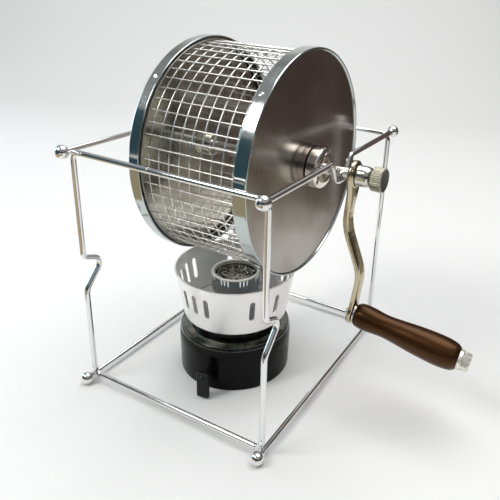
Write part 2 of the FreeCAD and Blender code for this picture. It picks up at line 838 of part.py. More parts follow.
# Windshield: spun aluminium cup with groups of upright slots
foot_in = shield_foot_d / 2
top_in = shield_top_d / 2
shield_outline = [
    (tube_r + 1.0, deck_z),
    (foot_in - 0.8, deck_z),
    (foot_in, deck_z + 0.8),
    (top_in, shield_top - shield_bead),
    (top_in + 0.5 * shield_bead, shield_top - 0.7 * shield_bead),
    (top_in + 0.5 * shield_bead, shield_top - 0.3 * shield_bead),
    (top_in, shield_top),
    (top_in - shield_t, shield_top),
    (top_in - shield_t, shield_top - shield_bead),
    (foot_in - shield_t, deck_z + shield_t + 0.4),
    (foot_in - shield_t - 0.4, deck_z + shield_t),
    (tube_r + 1.0, deck_z + shield_t),
]
windshield = turned(shield_outline, centre)
slots = []
for group in range(slot_groups):
    for slot in range(slots_in_group):
        angle = slot_group_angle + 360.0 * group / slot_groups
        angle += slot_step * (slot - (slots_in_group - 1) / 2)
        half = slot_h / 2 - slot_w / 2
        cutter = tangent_link(0, slot_z + half, slot_w / 2, 0, slot_z - half, slot_w / 2)
        cutter = cutter.extrude(X_AXIS * shield_top_d)
        cutter.rotate(Vector(0, 0, 0), Z_AXIS, angle)
        cutter.translate(centre)
        slots.append(cutter)
windshield = windshield.cut(slots)

shield_screws = []
for angle, x, y in ring_places(screw_count, neck_inside - shield_screw_in, 30.0):
    place = centre + Vector(x, y, deck_z + shield_t)
    shank = shield_t + deck_t + 2.0
    hole = cylinder(screw_d + 2 * press_gap, shank, place, Z_AXIS * -1)
    windshield = windshield.cut(hole)
    burner_base = burner_base.cut(hole)
    head = [
        (0, -shank),
        (screw_d / 2, -shank),
        (screw_d / 2, 0),
        (screw_head_d / 2, 0),
        (screw_head_d / 2 * 0.75, screw_head_h),
        (0, screw_head_h),
    ]
    shield_screws.append(turned(head, place))
parts["burner_base"] = burner_base
parts["windshield"] = windshield
parts["shield_screws"] = Part.makeCompound(shield_screws)

# Mixing tube stands on the windshield's floor and carries the head
flange_z = deck_z + shield_t
head_low = head_top - head_h
mixing = [
    (tube_r - tube_wall, deck_z - tube_drop),
    (tube_r, deck_z - tube_drop),
    (tube_r, flange_z),
    (tube_flange_d / 2, flange_z),
    (tube_flange_d / 2, flange_z + tube_flange),
    (tube_r, flange_z + tube_flange),
    (tube_r, head_low + head_wall + 1.0),
    (tube_r - tube_wall, head_low + head_wall + 1.0),
]
mixing_tube = turned(mixing, centre)
for angle, x, y in ring_places(4, 1.0, 45.0):
    place = at((flange_z + tube_flange + head_low) / 2)
    mixing_tube = mixing_tube.cut(cylinder(air_hole_d, tube_d, place, Vector(x, y, 0)))
parts["mixing_tube"] = mixing_tube

head_r = head_d / 2
head = [
    (tube_r + press_gap, head_low),
    (head_r - 1.5, head_low),
    (head_r, head_low + 1.5),
    (head_r, head_top - 1.6),
    (head_r - 0.4, head_top - 1.2),
    (head_r - 0.4, head_top - 0.5),
    (head_r - 1.0, head_top),
    (head_r - 1.6, head_top),
    (head_r - head_wall - 1.2, head_top - 0.8),
    (head_r - head_wall - 1.2, head_top - head_mouth),
    (head_r - head_wall, head_top - head_mouth),
    (head_r - head_wall, head_low + head_wall),
    (tube_r + press_gap, head_low + head_wall),
]
parts["burner_head"] = turned(head, centre)
disc_r = head_r - head_wall - press_gap
flame_disc = [
    (0, head_top - head_mouth - 2.2),
    (disc_r, head_top - head_mouth - 0.9),
    (disc_r, head_top - head_mouth),
    (0, head_top - head_mouth - 1.3),
]
parts["flame_disc"] = turned(flame_disc, centre)

os.makedirs("parts", exist_ok=True)
for name, shape in parts.items():
    shape.exportStep("parts/%s.step" % name)
print(len(parts), "parts written")
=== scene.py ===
import math
import bmesh
import bpy
from mathutils import Matrix, Vector


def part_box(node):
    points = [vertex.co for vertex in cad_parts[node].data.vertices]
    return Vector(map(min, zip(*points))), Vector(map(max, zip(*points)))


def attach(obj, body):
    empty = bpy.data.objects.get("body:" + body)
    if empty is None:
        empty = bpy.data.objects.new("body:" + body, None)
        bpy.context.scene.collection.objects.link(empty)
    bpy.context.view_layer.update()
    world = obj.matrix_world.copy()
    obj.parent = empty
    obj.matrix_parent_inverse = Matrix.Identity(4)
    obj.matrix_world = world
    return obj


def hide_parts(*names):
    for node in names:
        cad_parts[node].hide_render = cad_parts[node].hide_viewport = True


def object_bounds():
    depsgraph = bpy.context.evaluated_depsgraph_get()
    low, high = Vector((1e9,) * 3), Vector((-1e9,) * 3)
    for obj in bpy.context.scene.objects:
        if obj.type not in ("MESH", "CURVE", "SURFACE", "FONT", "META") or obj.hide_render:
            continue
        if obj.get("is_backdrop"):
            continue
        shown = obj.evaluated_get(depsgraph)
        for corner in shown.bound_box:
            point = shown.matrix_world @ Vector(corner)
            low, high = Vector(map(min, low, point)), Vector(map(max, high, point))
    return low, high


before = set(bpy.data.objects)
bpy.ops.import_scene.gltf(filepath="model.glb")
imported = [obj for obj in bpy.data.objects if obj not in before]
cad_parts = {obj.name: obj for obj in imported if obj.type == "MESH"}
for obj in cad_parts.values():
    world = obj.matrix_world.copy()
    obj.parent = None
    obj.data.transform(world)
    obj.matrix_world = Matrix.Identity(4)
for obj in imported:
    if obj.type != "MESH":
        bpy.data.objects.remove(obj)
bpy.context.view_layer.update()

# Frame loops
# Two upright rectangles of 3.4 mm steel wire, bent cold, butt welded near the middle of the top
# run and chromed bright. Each leg of the front one has an inward kink.
mm = 0.001


def new_finish(name, sockets):
    """A new material with these values on its shader's own sockets."""
    material = bpy.data.materials.new(name)
    material.use_nodes = True
    for socket, value in sockets.items():
        material.node_tree.nodes["Principled BSDF"].inputs[socket].default_value = value
    return material


def add_node(owner, kind, values, feeds, result, operation=None):
    """Adds a node with its own values and with what feeds it, and gives its result."""
    node = owner.node_tree.nodes.new("ShaderNode" + kind)
    if operation:
        node.operation = operation
    for socket, value in values.items():
        node.inputs[socket].default_value = value
    for socket, source in feeds.items():
        owner.node_tree.links.new(source, node.inputs[socket])
    return node.outputs[result]


def feed(material, socket, source):
    """Feeds a socket of the material's shader."""
    shader = material.node_tree.nodes["Principled BSDF"]
    material.node_tree.links.new(source, shader.inputs[socket])


def grain(material, fineness, detail, roughness=0.5, distortion=0.0, slant=0.0):
    """Noise on the piece's own axes. Fineness is per metre, the same all ways or one per axis."""
    place = add_node(material, "TexCoord", {}, {}, "Object")
    values = {"Scale": fineness, "Detail": detail, "Roughness": roughness, "Distortion": distortion}
    if isinstance(fineness, tuple):
        lay = {"Rotation": (0, 0, slant), "Scale": fineness}
        place = add_node(material, "Mapping", lay, {"Vector": place}, "Vector")
        values["Scale"] = 1.0
    return add_node(material, "TexNoise", values, {"Vector": place}, "Fac")


def vary_gloss(material, source, first, last, smooth, rough):
    """Roughness that follows a grain, smooth where it is at first and rough where it is at last."""
    values = {"From Min": first, "From Max": last, "To Min": smooth, "To Max": rough}
    feed(material, "Roughness", add_node(material, "MapRange", values, {"Value": source}, "Result"))


def mirror_chrome(name, colour, roughness, smear_size):
    """Bright plating: a mirror with faint handling smears."""
    material = new_finish(name, {"Base Color": (*colour, 1), "Metallic": 1.0})
    smears = grain(material, 1 / smear_size, 4.0)
    vary_gloss(material, smears, 0.35, 0.75, roughness, roughness * 2.2)
    return material


def finished(name, mesh, finishes, sharp=35.0):
    """Turns a bmesh into a shown piece, smooth except across edges sharper than sharp degrees."""
    bmesh.ops.recalc_face_normals(mesh, faces=mesh.faces)
    data = bpy.data.meshes.new(name)
    mesh.to_mesh(data)
    mesh.free()
    for material in finishes:
        data.materials.append(material)
    data.shade_smooth()
    data.set_sharp_from_angle(angle=math.radians(sharp))
    piece = bpy.data.objects.new(name, data)
    bpy.context.scene.collection.objects.link(piece)
    return piece


def bent_line(corners, radii, step=6):
    """Points along straight runs joined by round bends of these radii, a point every step degrees."""
    line = [corners[0]]
    for before, corner, after, radius in zip(corners, corners[1:], corners[2:], radii):
        back = (before - corner).normalized()
        ahead = (after - corner).normalized()
        half = back.angle(ahead) / 2
        middle = corner + (back + ahead).normalized() * (radius / math.sin(half))
        spoke = corner + back * (radius / math.tan(half)) - middle
        end_spoke = corner + ahead * (radius / math.tan(half)) - middle
        turn = spoke.angle(end_spoke)
        hinge = spoke.cross(end_spoke).normalized()
        steps = max(4, int(math.degrees(turn) / step))
        for i in range(steps + 1):
            line.append(middle + Matrix.Rotation(turn * i / steps, 3, hinge) @ spoke)
    line.append(corners[-1])
    return line


def add_skin(mesh, rings, finishes=None, closed=False, ends=False):
    """Joins each ring of points to the next with faces. A ring of one point is a tip."""
    pairs = list(zip(rings, rings[1:] + rings[:1], finishes or [0] * len(rings)))
    for ring, next_ring, finish in pairs if closed else pairs[:-1]:
        for k in range(max(len(ring), len(next_ring))):
            near = [ring[k % len(ring)], ring[(k + 1) % len(ring)]]
            far = [next_ring[(k + 1) % len(next_ring)], next_ring[k % len(next_ring)]]
            corners = list(dict.fromkeys(near + far))
            mesh.faces.new(corners).material_index = finish
    if ends:
        mesh.faces.new(rings[0])
        mesh.faces.new(rings[-1])


def add_wire(mesh, line, thick, sides=24):
    """Adds a round wire along a line, its section carried along without twist."""
    ahead = (line[1] - line[0]).normalized()
    side = ahead.orthogonal().normalized()
    rings = []
    for i, point in enumerate(line):
        following = line[min(i + 1, len(line) - 1)] - line[max(i - 1, 0)]
        following.normalize()
        side = ahead.rotation_difference(following) @ side
        ahead = following
        other = ahead.cross(side)
        ring = []
        for k in range(sides):
            turn = 2 * math.pi * k / sides
            out = side * math.cos(turn) + other * math.sin(turn)
            ring.append(mesh.verts.new(point + out * (thick / 2)))
        rings.append(ring)
    add_skin(mesh, rings, ends=True)


def add_ball(mesh, centre, size, across=32):
    """Adds a ball, or an egg when size is a vector of its three diameters."""
    shape = size if isinstance(size, Vector) else Vector((size, size, size))
    place = Matrix.Translation(centre) @ Matrix.Diagonal((*shape, 1))
    bmesh.ops.create_uvsphere(mesh, u_segments=across, v_segments=across // 2, radius=0.5, matrix=place)


wire_chrome = mirror_chrome("wire chrome", (0.83, 0.83, 0.84), 0.05, 14 * mm)
wire_low, wire_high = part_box("bottom_wire_right")
wire_thick = wire_high.z - wire_low.z
front_low, front_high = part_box("front_loop")
back_low, back_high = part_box("back_loop")
corner_bend = 5 * mm
kink_corners = ((0, 89 * mm), (14.8 * mm, 83 * mm), (0, 66.5 * mm))
kink_root_bend = 4 * mm
kink_tip_bend = 5 * mm
kink_low_bend = 8 * mm
butt_weld_x = -9 * mm
butt_weld_long = 1.6 * mm
butt_weld_thick = wire_thick * 1.05


def loop_line(low, high, kinked):
    """The middle line of a loop, from one side of the butt weld round to the other."""
    inner = wire_thick / 2
    y = low.y + inner
    left, right = low.x + inner, high.x - inner
    bottom, top = low.z + inner, high.z - inner

    def kink(x):
        return [Vector((x, y + deep, z)) for deep, z in kink_corners]

    kink_bends = [kink_root_bend, kink_tip_bend, kink_low_bend] if kinked else []
    corners = [Vector((butt_weld_x, y, top)), Vector((right, y, top))]
    corners += kink(right) if kinked else []
    corners += [Vector((right, y, bottom)), Vector((left, y, bottom))]
    corners += kink(left)[::-1] if kinked else []
    corners += [Vector((left, y, top)), Vector((butt_weld_x, y, top))]
    bends = [corner_bend] + kink_bends + [corner_bend] * 2 + kink_bends[::-1] + [corner_bend]
    return bent_line(corners, bends)


for node, low, high, kinked in (
    ("front_loop", front_low, front_high, True),
    ("back_loop", back_low, back_high, False),
):
    wire = bmesh.new()
    line = loop_line(low, high, kinked)
    add_wire(wire, line, wire_thick)
    add_ball(wire, line[0], Vector((butt_weld_long, butt_weld_thick, butt_weld_thick)))
    loop = finished(node + "_wire", wire, [wire_chrome])
    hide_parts(node)
    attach(loop, "stand")

# Cross wires
# Four lengths of the same wire, laid in the corners of the loops and spot welded there. The top
# two have a U notch, bent before plating, that the drum's shaft turns in.
notch_mouth = 24 * mm
notch_floor = 10 * mm
notch_top_bend = 4 * mm
notch_floor_bend = 6 * mm
loop_corner_in = wire_thick / 2 + corner_bend * (1 - math.sqrt(0.5))
spot_weld = Vector((0.8, 0.95, 0.8)) * wire_thick


def notched_line(low, high):
    """The middle line of a top wire, down through its notch and up again."""
    x = (low.x + high.x) / 2
    top = high.z - wire_thick / 2
    floor = low.z + wire_thick / 2
    places = (
        (low.y, top),
        (-notch_mouth / 2, top),
        (-notch_floor / 2, floor),
        (notch_floor / 2, floor),
        (notch_mouth / 2, top),
        (high.y, top),
    )
    bends = (notch_top_bend, notch_floor_bend, notch_floor_bend, notch_top_bend)
    return bent_line([Vector((x, y, z)) for y, z in places], bends)


for node in ("top_wire_right", "top_wire_left", "bottom_wire_right", "bottom_wire_left"):
    low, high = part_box(node)
    if node.startswith("top"):
        line = notched_line(low, high)
        corner_z = front_high.z - loop_corner_in
    else:
        x, z = (low.x + high.x) / 2, (low.z + high.z) / 2
        line = [Vector((x, low.y, z)), Vector((x, high.y, z))]
        corner_z = front_low.z + loop_corner_in
    wire = bmesh.new()
    add_wire(wire, line, wire_thick)
    corner_x = math.copysign(front_high.x - loop_corner_in, low.x)
    for loop_low in (front_low, back_low):
        corner = Vector((corner_x, loop_low.y + wire_thick / 2, corner_z))
        beside = Vector((line[0].x, corner.y, line[0].z))
        add_ball(wire, corner.lerp(beside, 0.5), spot_weld, 20)
    cross = finished(node + "_bar", wire, [wire_chrome])
    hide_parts(node)
    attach(cross, "stand")

# Balls
# Solid 8 mm steel balls drilled part way, pressed on the ends of the cross wires and chromed.
# The lower four are the feet.
ball_chrome = mirror_chrome("ball chrome", (0.84, 0.83, 0.82), 0.04, 6 * mm)
collar_long = 0.9 * mm
collar_thick = wire_thick * 1.12
collar_start = 0.46
for node in ("top_balls", "foot_balls"):
    low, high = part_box(node)
    size = high.z - low.z
    group = bmesh.new()
    for x in (low.x + size / 2, high.x - size / 2):
        for y, inward in ((low.y + size / 2, 1), (high.y - size / 2, -1)):
            centre = Vector((x, y, (low.z + high.z) / 2))
            add_ball(group, centre, size, 48)
            collar = centre + Vector((0, inward * size * collar_start, 0))
            add_wire(group, [collar, collar + Vector((0, inward * collar_long, 0))], collar_thick)
    ends = finished(node + "_polished", group, [ball_chrome])
    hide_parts(node)
    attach(ends, "stand")

# Drum mesh
# Stainless wire 0.9 mm thick: long rods outside and rings inside, spot welded at each crossing
# and left as drawn, a little duller than the frame.


def add_relief(material, source, strength, deep):
    """Fine relief that follows a grain."""
    values = {"Strength": strength, "Distance": deep}
    feed(material, "Normal", add_node(material, "Bump", values, {"Height": source}, "Normal"))


def drawn_steel(name, colour, roughness, fineness):
    """Stainless with straight grain. Fineness is its lines per metre along x, y and z."""
    material = mirror_chrome(name, colour, roughness, 20 * mm)
    add_relief(material, grain(material, fineness, 6.0, 0.7), 0.25, 0.05 * mm)
    return material


mesh_steel = drawn_steel("mesh steel", (0.72, 0.71, 0.69), 0.16, (300, 4000, 4000))
rod_thick = 0.9 * mm
rod_count = 60
ring_count = 11
wire_sides = 10
ring_steps = 240
rods_low, rods_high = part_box("mesh_rods")
rings_low, rings_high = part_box("mesh_rings")
axis_z = (rods_low.z + rods_high.z) / 2
rod_circle = rods_high.z - axis_z - rod_thick / 2
ring_circle = rings_high.z - axis_z - rod_thick / 2
ring_gap = (rings_high.x - rings_low.x - rod_thick) / (ring_count - 1)
rod_mesh = bmesh.new()
for i in range(rod_count):
    turn = 2 * math.pi * i / rod_count
    y, z = rod_circle * math.cos(turn), axis_z + rod_circle * math.sin(turn)
    rod = [Vector((rods_low.x, y, z)), Vector((rods_high.x, y, z))]
    add_wire(rod_mesh, rod, rod_thick, wire_sides)
rods = finished("mesh_rods_round", rod_mesh, [mesh_steel], 60)
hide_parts("mesh_rods")
ring_mesh = bmesh.new()
for i in range(ring_count):
    x = rings_low.x + rod_thick / 2 + i * ring_gap
    circle = []
    for k in range(ring_steps + 1):
        turn = 2 * math.pi * k / ring_steps
        y, z = ring_circle * math.cos(turn), axis_z + ring_circle * math.sin(turn)
        circle.append(Vector((x, y, z)))
    add_wire(ring_mesh, circle, rod_thick, wire_sides)
rings = finished("mesh_rings_round", ring_mesh, [mesh_steel], 60)
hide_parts("mesh_rings")
for piece in (rods, rings):
    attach(piece, "drum")

# Bands
# Flat stainless hoops rolled round the ends of the mesh and spot welded to the rods.
# They stiffen the ends and the cap rims slide over them.
band_steel = drawn_steel("band steel", (0.60, 0.59, 0.57), 0.22, (5000, 60, 60))
band_shade = drawn_steel("band inside", (0.07, 0.07, 0.065), 0.35, (5000, 60, 60))
up = Vector((0, 0, 1))
right_way = Vector((1, 0, 0))
left_way = Vector((-1, 0, 0))


def eased(points, closed, steps=4, most=0.45):
    """Rounds an outline's corners. Each point is (radius, height, ease, finish number), and an ease
    takes at most this share of the sides beside it."""
    out = []
    count = len(points)
    for i, (r, h, ease, finish) in enumerate(points):
        inner = closed or 0 < i < count - 1
        if not inner or ease <= 0:
            out.append((r, h, finish))
            continue
        here = Vector((r, h))
        back = Vector(points[i - 1][:2]) - here
        ahead = Vector(points[(i + 1) % count][:2]) - here
        reach = min(ease, back.length * most, ahead.length * most)
        first = here + back.normalized() * reach
        last = here + ahead.normalized() * reach
        for k in range(steps + 1):
            s = k / steps
            point = first * (1 - s) ** 2 + here * (2 * s * (1 - s)) + last * s ** 2
            out.append((point.x, point.y, finish))
    return out


def add_ring(mesh, radii, height):
    """Adds a ring of points round +Z, one for each radius."""
    ring = []
    for k, r in enumerate(radii):
        turn = 2 * math.pi * k / len(radii)
        ring.append(mesh.verts.new((r * math.cos(turn), r * math.sin(turn), height)))
    return ring


def add_turned(mesh, points, closed=True, steps=128):
    """Adds a turned form round +Z. A point on the axis is a tip."""
    outline = eased(points, closed)
    rings = [add_ring(mesh, [r] * (steps if r > 0 else 1), h) for r, h, finish in outline]
    add_skin(mesh, rings, [finish for r, h, finish in outline], closed)


def stand(piece, base, axis):
    """Stands a piece at base with its own +Z along axis."""
    turn = up.rotation_difference(axis).to_matrix().to_4x4()
    piece.matrix_world = Matrix.Translation(base) @ turn


def turned(name, points, finishes, base, axis, closed=True, steps=128, sharp=35.0):
    """A turned piece that stands at base with its own +Z along axis."""
    mesh = bmesh.new()
    add_turned(mesh, points, closed, steps)
    piece = finished(name, mesh, finishes, sharp)
    stand(piece, base, axis)
    return piece


def on_axis(x):
    """The place on the drum's axis at x."""
    return Vector((x, 0, axis_z))


sheet = 0.8 * mm
band_ease = 0.15 * mm
band_finishes = [band_steel, band_shade]
for node in ("band_left", "band_right"):
    low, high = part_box(node)
    outer = high.z - axis_z
    long = high.x - low.x
    section = [
        (outer, 0, band_ease, 0),
        (outer, long, band_ease, 0),
        (outer - sheet, long, band_ease, 1),
        (outer - sheet, 0, band_ease, 0),
    ]
    hoop = turned(node + "_hoop", section, band_finishes, on_axis(low.x), right_way)
    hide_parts(node)
    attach(hoop, "drum")

# End caps
# Two pans pressed from 0.8 mm stainless: a brushed face inside a raised edge, and a polished rim
# over the mesh. The right one is riveted on; the left one is the lid, held by four dimples.


def tones(owner, source, *stops):
    """Colours that follow a source. Each stop is (position, colour), in order."""
    ramp = owner.node_tree.nodes.new("ShaderNodeValToRGB")
    marks = ramp.color_ramp.elements
    marks[0].position = stops[0][0]
    marks[1].position = stops[-1][0]
    for position, colour in stops[1:-1]:
        marks.new(position)
    for mark, (position, colour) in zip(marks, stops):
        mark.color = (*colour, 1)
    owner.node_tree.links.new(source, ramp.inputs["Fac"])
    return ramp.outputs["Color"]


def brushed_face(name, colour, shade_colour, roughness, slant):
    """Sheet brushed in straight strokes, slanted across the face, with soft broad stains."""
    material = new_finish(name, {"Metallic": 1.0})
    strokes = grain(material, (25, 2600, 60), 5.0, slant=slant)
    stains = grain(material, 1 / (35 * mm), 2.0)
    feed(material, "Base Color", tones(material, stains, (0.38, shade_colour), (0.62, colour)))
    vary_gloss(material, strokes, 0.3, 0.7, roughness * 0.85, roughness * 1.2)
    add_relief(material, strokes, 0.22, 0.04 * mm)
    return material


def spun_metal(name, colour, roughness, line_size, depth):
    """Metal with fine lines round the axis, as the lathe or the rolls leave them."""
    material = new_finish(name, {"Base Color": (*colour, 1), "Metallic": 1.0})
    place = add_node(material, "TexCoord", {}, {}, "Object")
    flat = add_node(material, "VectorMath", {1: (1, 1, 0)}, {0: place}, "Vector", "MULTIPLY")
    radius = add_node(material, "VectorMath", {}, {0: flat}, "Value", "LENGTH")
    height = add_node(material, "SeparateXYZ", {}, {"Vector": place}, "Z")
    profile = add_node(material, "CombineXYZ", {}, {"X": radius, "Y": height}, "Vector")
    fine = {"Scale": 1 / line_size, "Detail": 4.0, "Roughness": 0.65}
    lines = add_node(material, "TexNoise", fine, {"Vector": profile}, "Fac")
    vary_gloss(material, lines, 0.3, 0.7, roughness * 0.75, roughness * 1.3)
    add_relief(material, lines, 0.3, depth)
    return material


cap_face = brushed_face("cap face", (0.46, 0.42, 0.385), (0.36, 0.32, 0.29), 0.20, math.radians(38))
cap_rim = spun_metal("cap rim", (0.53, 0.57, 0.56), 0.12, 1.2 * mm, 0.015 * mm)
cap_inside = brushed_face("cap inside", (0.60, 0.58, 0.50), (0.48, 0.46, 0.40), 0.11, math.radians(-60))
bead_wide = 1.6 * mm
bead_high = 1.2 * mm
fold = 0.35 * mm
rim_places = [math.radians(45 + 90 * i) for i in range(4)]
dimple_size = 4.4 * mm
dimple_deep = 0.6 * mm


def cap_outline(outer, deep, hole):
    """Half section of a pan: its face at height 0, the raised edge above and the rim below."""
    top = 0.5 * bead_high
    foot = bead_high - deep + fold
    rows = 14
    rim_out = [(outer, top + (foot - top) * i / rows, 0, 1) for i in range(1, rows)]
    rim_in = [(outer - sheet, foot + (-sheet - foot) * i / rows, 0, 2) for i in range(1, rows)]
    return [
        (hole, 0, 0, 0),
        (outer - bead_wide, 0, 0.3 * mm, 1),
        (outer - bead_wide + 0.5 * bead_high, bead_high, 0.4 * mm, 1),
        (outer - 0.15 * bead_high, bead_high, 0.5 * mm, 1),
        (outer, top, 0.4 * mm, 1),
        *rim_out,
        (outer, foot, 0.3 * mm, 1),
        (outer - sheet * 0.3, bead_high - deep, 0.2 * mm, 1),
        (outer - sheet, bead_high - deep, 0.1 * mm, 2),
        *rim_in,
        (outer - sheet, -sheet, 0.4 * mm, 2),
        (hole, -sheet, 0, 2),
    ]


cap_low, cap_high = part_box("right_cap")
lid_low, lid_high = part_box("lid")
shaft_low, shaft_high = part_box("shaft")
cap_outer = cap_high.z - axis_z
shaft_thick = shaft_high.z - shaft_low.z
shaft_fit = 0.05 * mm
cap_finishes = [cap_face, cap_rim, cap_inside]
right_base = on_axis(cap_high.x - bead_high)
right_pan = cap_outline(cap_outer, cap_high.x - cap_low.x, shaft_thick / 2 + shaft_fit)
right_cap = turned("right_cap_pan", right_pan, cap_finishes, right_base, right_way, steps=240)
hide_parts("right_cap")
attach(right_cap, "drum")

bush_low, bush_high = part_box("lid_bush")
bush_body = 14 * mm
left_base = on_axis(lid_low.x + bead_high)
left_pan = cap_outline(cap_outer, lid_high.x - lid_low.x, bush_body / 2)
lid = turned("lid_pan", left_pan, cap_finishes, left_base, left_way, steps=480)
lid_turn = lid.matrix_world.to_quaternion()
dimple_height = (bead_high - (lid_high.x - lid_low.x)) / 2
for turn in rim_places:
    out = lid_turn.inverted() @ Vector((0, math.cos(turn), math.sin(turn)))
    spot = out * cap_outer + up * dimple_height
    for vertex in lid.data.vertices:
        off = (vertex.co - spot).length / (dimple_size / 2)
        if off < 1:
            vertex.co -= out * (dimple_deep * (1 - off ** 2) ** 2)
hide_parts("lid")
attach(lid, "lid")

# Rivets
# Four small round headed rivets, nickelled, with a shoulder that fills the gap between the
# right rim and its band.
rivet_chrome = mirror_chrome("rivet nickel", (0.74, 0.73, 0.70), 0.12, 3 * mm)
rivet_low, rivet_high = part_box("cap_rivets")
rivet_x = (rivet_low.x + rivet_high.x) / 2
rivet_size = rivet_high.x - rivet_low.x
rivet_head = 1.3 * mm
rivet_reach = sheet + 1.0 * mm
rivet_mesh = bmesh.new()
for turn in rim_places:
    out = Vector((0, math.cos(turn), math.sin(turn)))
    seat = out * cap_outer + on_axis(rivet_x)
    lay = up.rotation_difference(out).to_matrix().to_4x4()
    squash = Matrix.Diagonal((rivet_size, rivet_size, rivet_head, 1))
    place = Matrix.Translation(seat) @ lay @ squash
    bmesh.ops.create_uvsphere(rivet_mesh, u_segments=28, v_segments=16, radius=0.5, matrix=place)
    neck = [seat - out * rivet_reach, seat - out * sheet * 0.5]
    add_wire(rivet_mesh, neck, rivet_size, 28)
rivets = finished("cap_rivets_round", rivet_mesh, [rivet_chrome])
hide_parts("cap_rivets")
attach(rivets, "drum")

# Bush, shaft and hub
# The bush is a turned sleeve pressed in the lid. The shaft is plain ground rod right through
# the drum, and the polished hub is set screwed to it against the right cap.
hub_chrome = spun_metal("hub chrome", (0.80, 0.77, 0.70), 0.10, 0.5 * mm, 0.01 * mm)
shaft_steel = drawn_steel("shaft steel", (0.72, 0.71, 0.69), 0.12, (100, 3000, 3000))
bush_flange = (bush_high.z - bush_low.z) / 2
bush_plate = lid_low.x + bead_high - bush_low.x
bush_bore = shaft_thick / 2 + 0.08 * mm
bush_long = bush_high.x - bush_low.x - bush_plate
bush_outline = [
    (bush_bore, bush_plate, 0.2 * mm, 0),
    (bush_flange, bush_plate, 0.4 * mm, 0),
    (bush_flange, 0, 0.1 * mm, 0),
    (bush_body / 2, 0, 0.1 * mm, 0),
    (bush_body / 2, -bush_long, 0.5 * mm, 0),
    (bush_bore, -bush_long, 0.2 * mm, 0),
]
bush = turned("lid_bush_turned", bush_outline, [hub_chrome], left_base, left_way)
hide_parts("lid_bush")
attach(bush, "lid")

nut_low, nut_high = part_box("thumb_nut")
stud_long = 5 * mm
stud_thick = 5 * mm
shaft_long = shaft_high.x - shaft_low.x
shaft_outline = [
    (0, 0, 0, 0),
    (shaft_thick / 2, 0, 0.8 * mm, 0),
    (shaft_thick / 2, shaft_long - stud_long, 0.2 * mm, 0),
    (stud_thick / 2, shaft_long - stud_long, 0, 0),
    (stud_thick / 2, shaft_long, 0.3 * mm, 0),
    (0, shaft_long, 0, 0),
]
shaft_base = on_axis(shaft_low.x)
shaft = turned("shaft_rod", shaft_outline, [shaft_steel], shaft_base, right_way, False, 64)
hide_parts("shaft")
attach(shaft, "drum")

hub_low, hub_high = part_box("drive_hub")
hub_outer = (hub_high.z - hub_low.z) / 2
hub_long = hub_high.x - hub_low.x
hub_base_long = 3.8 * mm
groove_long = 0.8 * mm
groove_deep = 1.5 * mm
nose_outer = 7 * mm
nose_round = 2.6 * mm
nose_start = hub_base_long + groove_long
hub_points = [
    (shaft_thick / 2, 0, 0, 0),
    (hub_outer, 0, 0.2 * mm, 2),
    (hub_outer, hub_base_long, 0.3 * mm, 1),
    (hub_outer - groove_deep, hub_base_long, 0.1 * mm, 1),
    (hub_outer - groove_deep, nose_start, 0.1 * mm, 1),
    (hub_outer, nose_start, 0.3 * mm, 0),
]
nose_steps = 10
for i in range(nose_steps + 1):
    turn = math.radians(90 * i / nose_steps)
    r = nose_outer + (hub_outer - nose_outer) * math.cos(turn)
    hub_points.append((r, hub_long - nose_round * (1 - math.sin(turn)), 0, 0))
hub_points.append((shaft_thick / 2, hub_long, 0.2 * mm, 0))
groove_dark = spun_metal("groove shade", (0.03, 0.03, 0.03), 0.4, 0.5 * mm, 0.01 * mm)
hub_base = on_axis(hub_low.x)
hub_finishes = [hub_chrome, groove_dark, cap_face]
hub = turned("drive_hub_turned", hub_points, hub_finishes, hub_base, right_way, steps=96, sharp=50)
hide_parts("drive_hub")
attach(hub, "drum")

# Crank arm
# Cast iron, nickel plated a little yellow: a round boss on the shaft, a flat arm that sweeps out
# sideways to clear the frame, and a round eye for the grip's pin. Its edges are cast round.


def plated_casting(name, colour, roughness):
    """Plating over cast metal: slightly lumpy, with soft wear."""
    material = mirror_chrome(name, colour, roughness, 9 * mm)
    add_relief(material, grain(material, 1 / (2.2 * mm), 3.0), 0.35, 0.18 * mm)
    return material


crank_nickel = plated_casting("crank nickel", (0.56, 0.49, 0.35), 0.10)
boss_nickel = plated_casting("boss nickel", (0.66, 0.65, 0.58), 0.10)
boss_shade = plated_casting("boss foot shade", (0.03, 0.03, 0.025), 0.30)
arm_top_x = 73.6 * mm
arm_thick = 4 * mm
arm_head = 17 * mm
arm_waist = 9.4 * mm
arm_eye = 14.4 * mm
crank_reach = 89.3 * mm
arm_lean = math.radians(7)
sweep_in = -2.3 * mm
sweep_in_low = 31 * mm
sweep_out = 9.8 * mm
sweep_out_low = 61 * mm
head_straight = 9 * mm
arm_bends = [60 * mm, 34 * mm, 26 * mm]
eye_z = axis_z - crank_reach
eye_x = arm_top_x + sweep_out - (crank_reach - sweep_out_low) * math.tan(arm_lean)
eye = Vector((eye_x, 0, eye_z))
down_arm = Vector((-math.sin(arm_lean), 0, -math.cos(arm_lean)))
arm_line = bent_line(
    [
        Vector((arm_top_x, 0, axis_z + arm_head / 2)),
        Vector((arm_top_x, 0, axis_z - head_straight)),
        Vector((arm_top_x + sweep_in, 0, axis_z - sweep_in_low)),
        Vector((arm_top_x + sweep_out, 0, axis_z - sweep_out_low)),
        eye + down_arm * (arm_eye / 2),
    ],
    arm_bends,
)
head_arc = 0.45
head_blend = 24 * mm
eye_arc = 0.55
eye_blend = 14 * mm


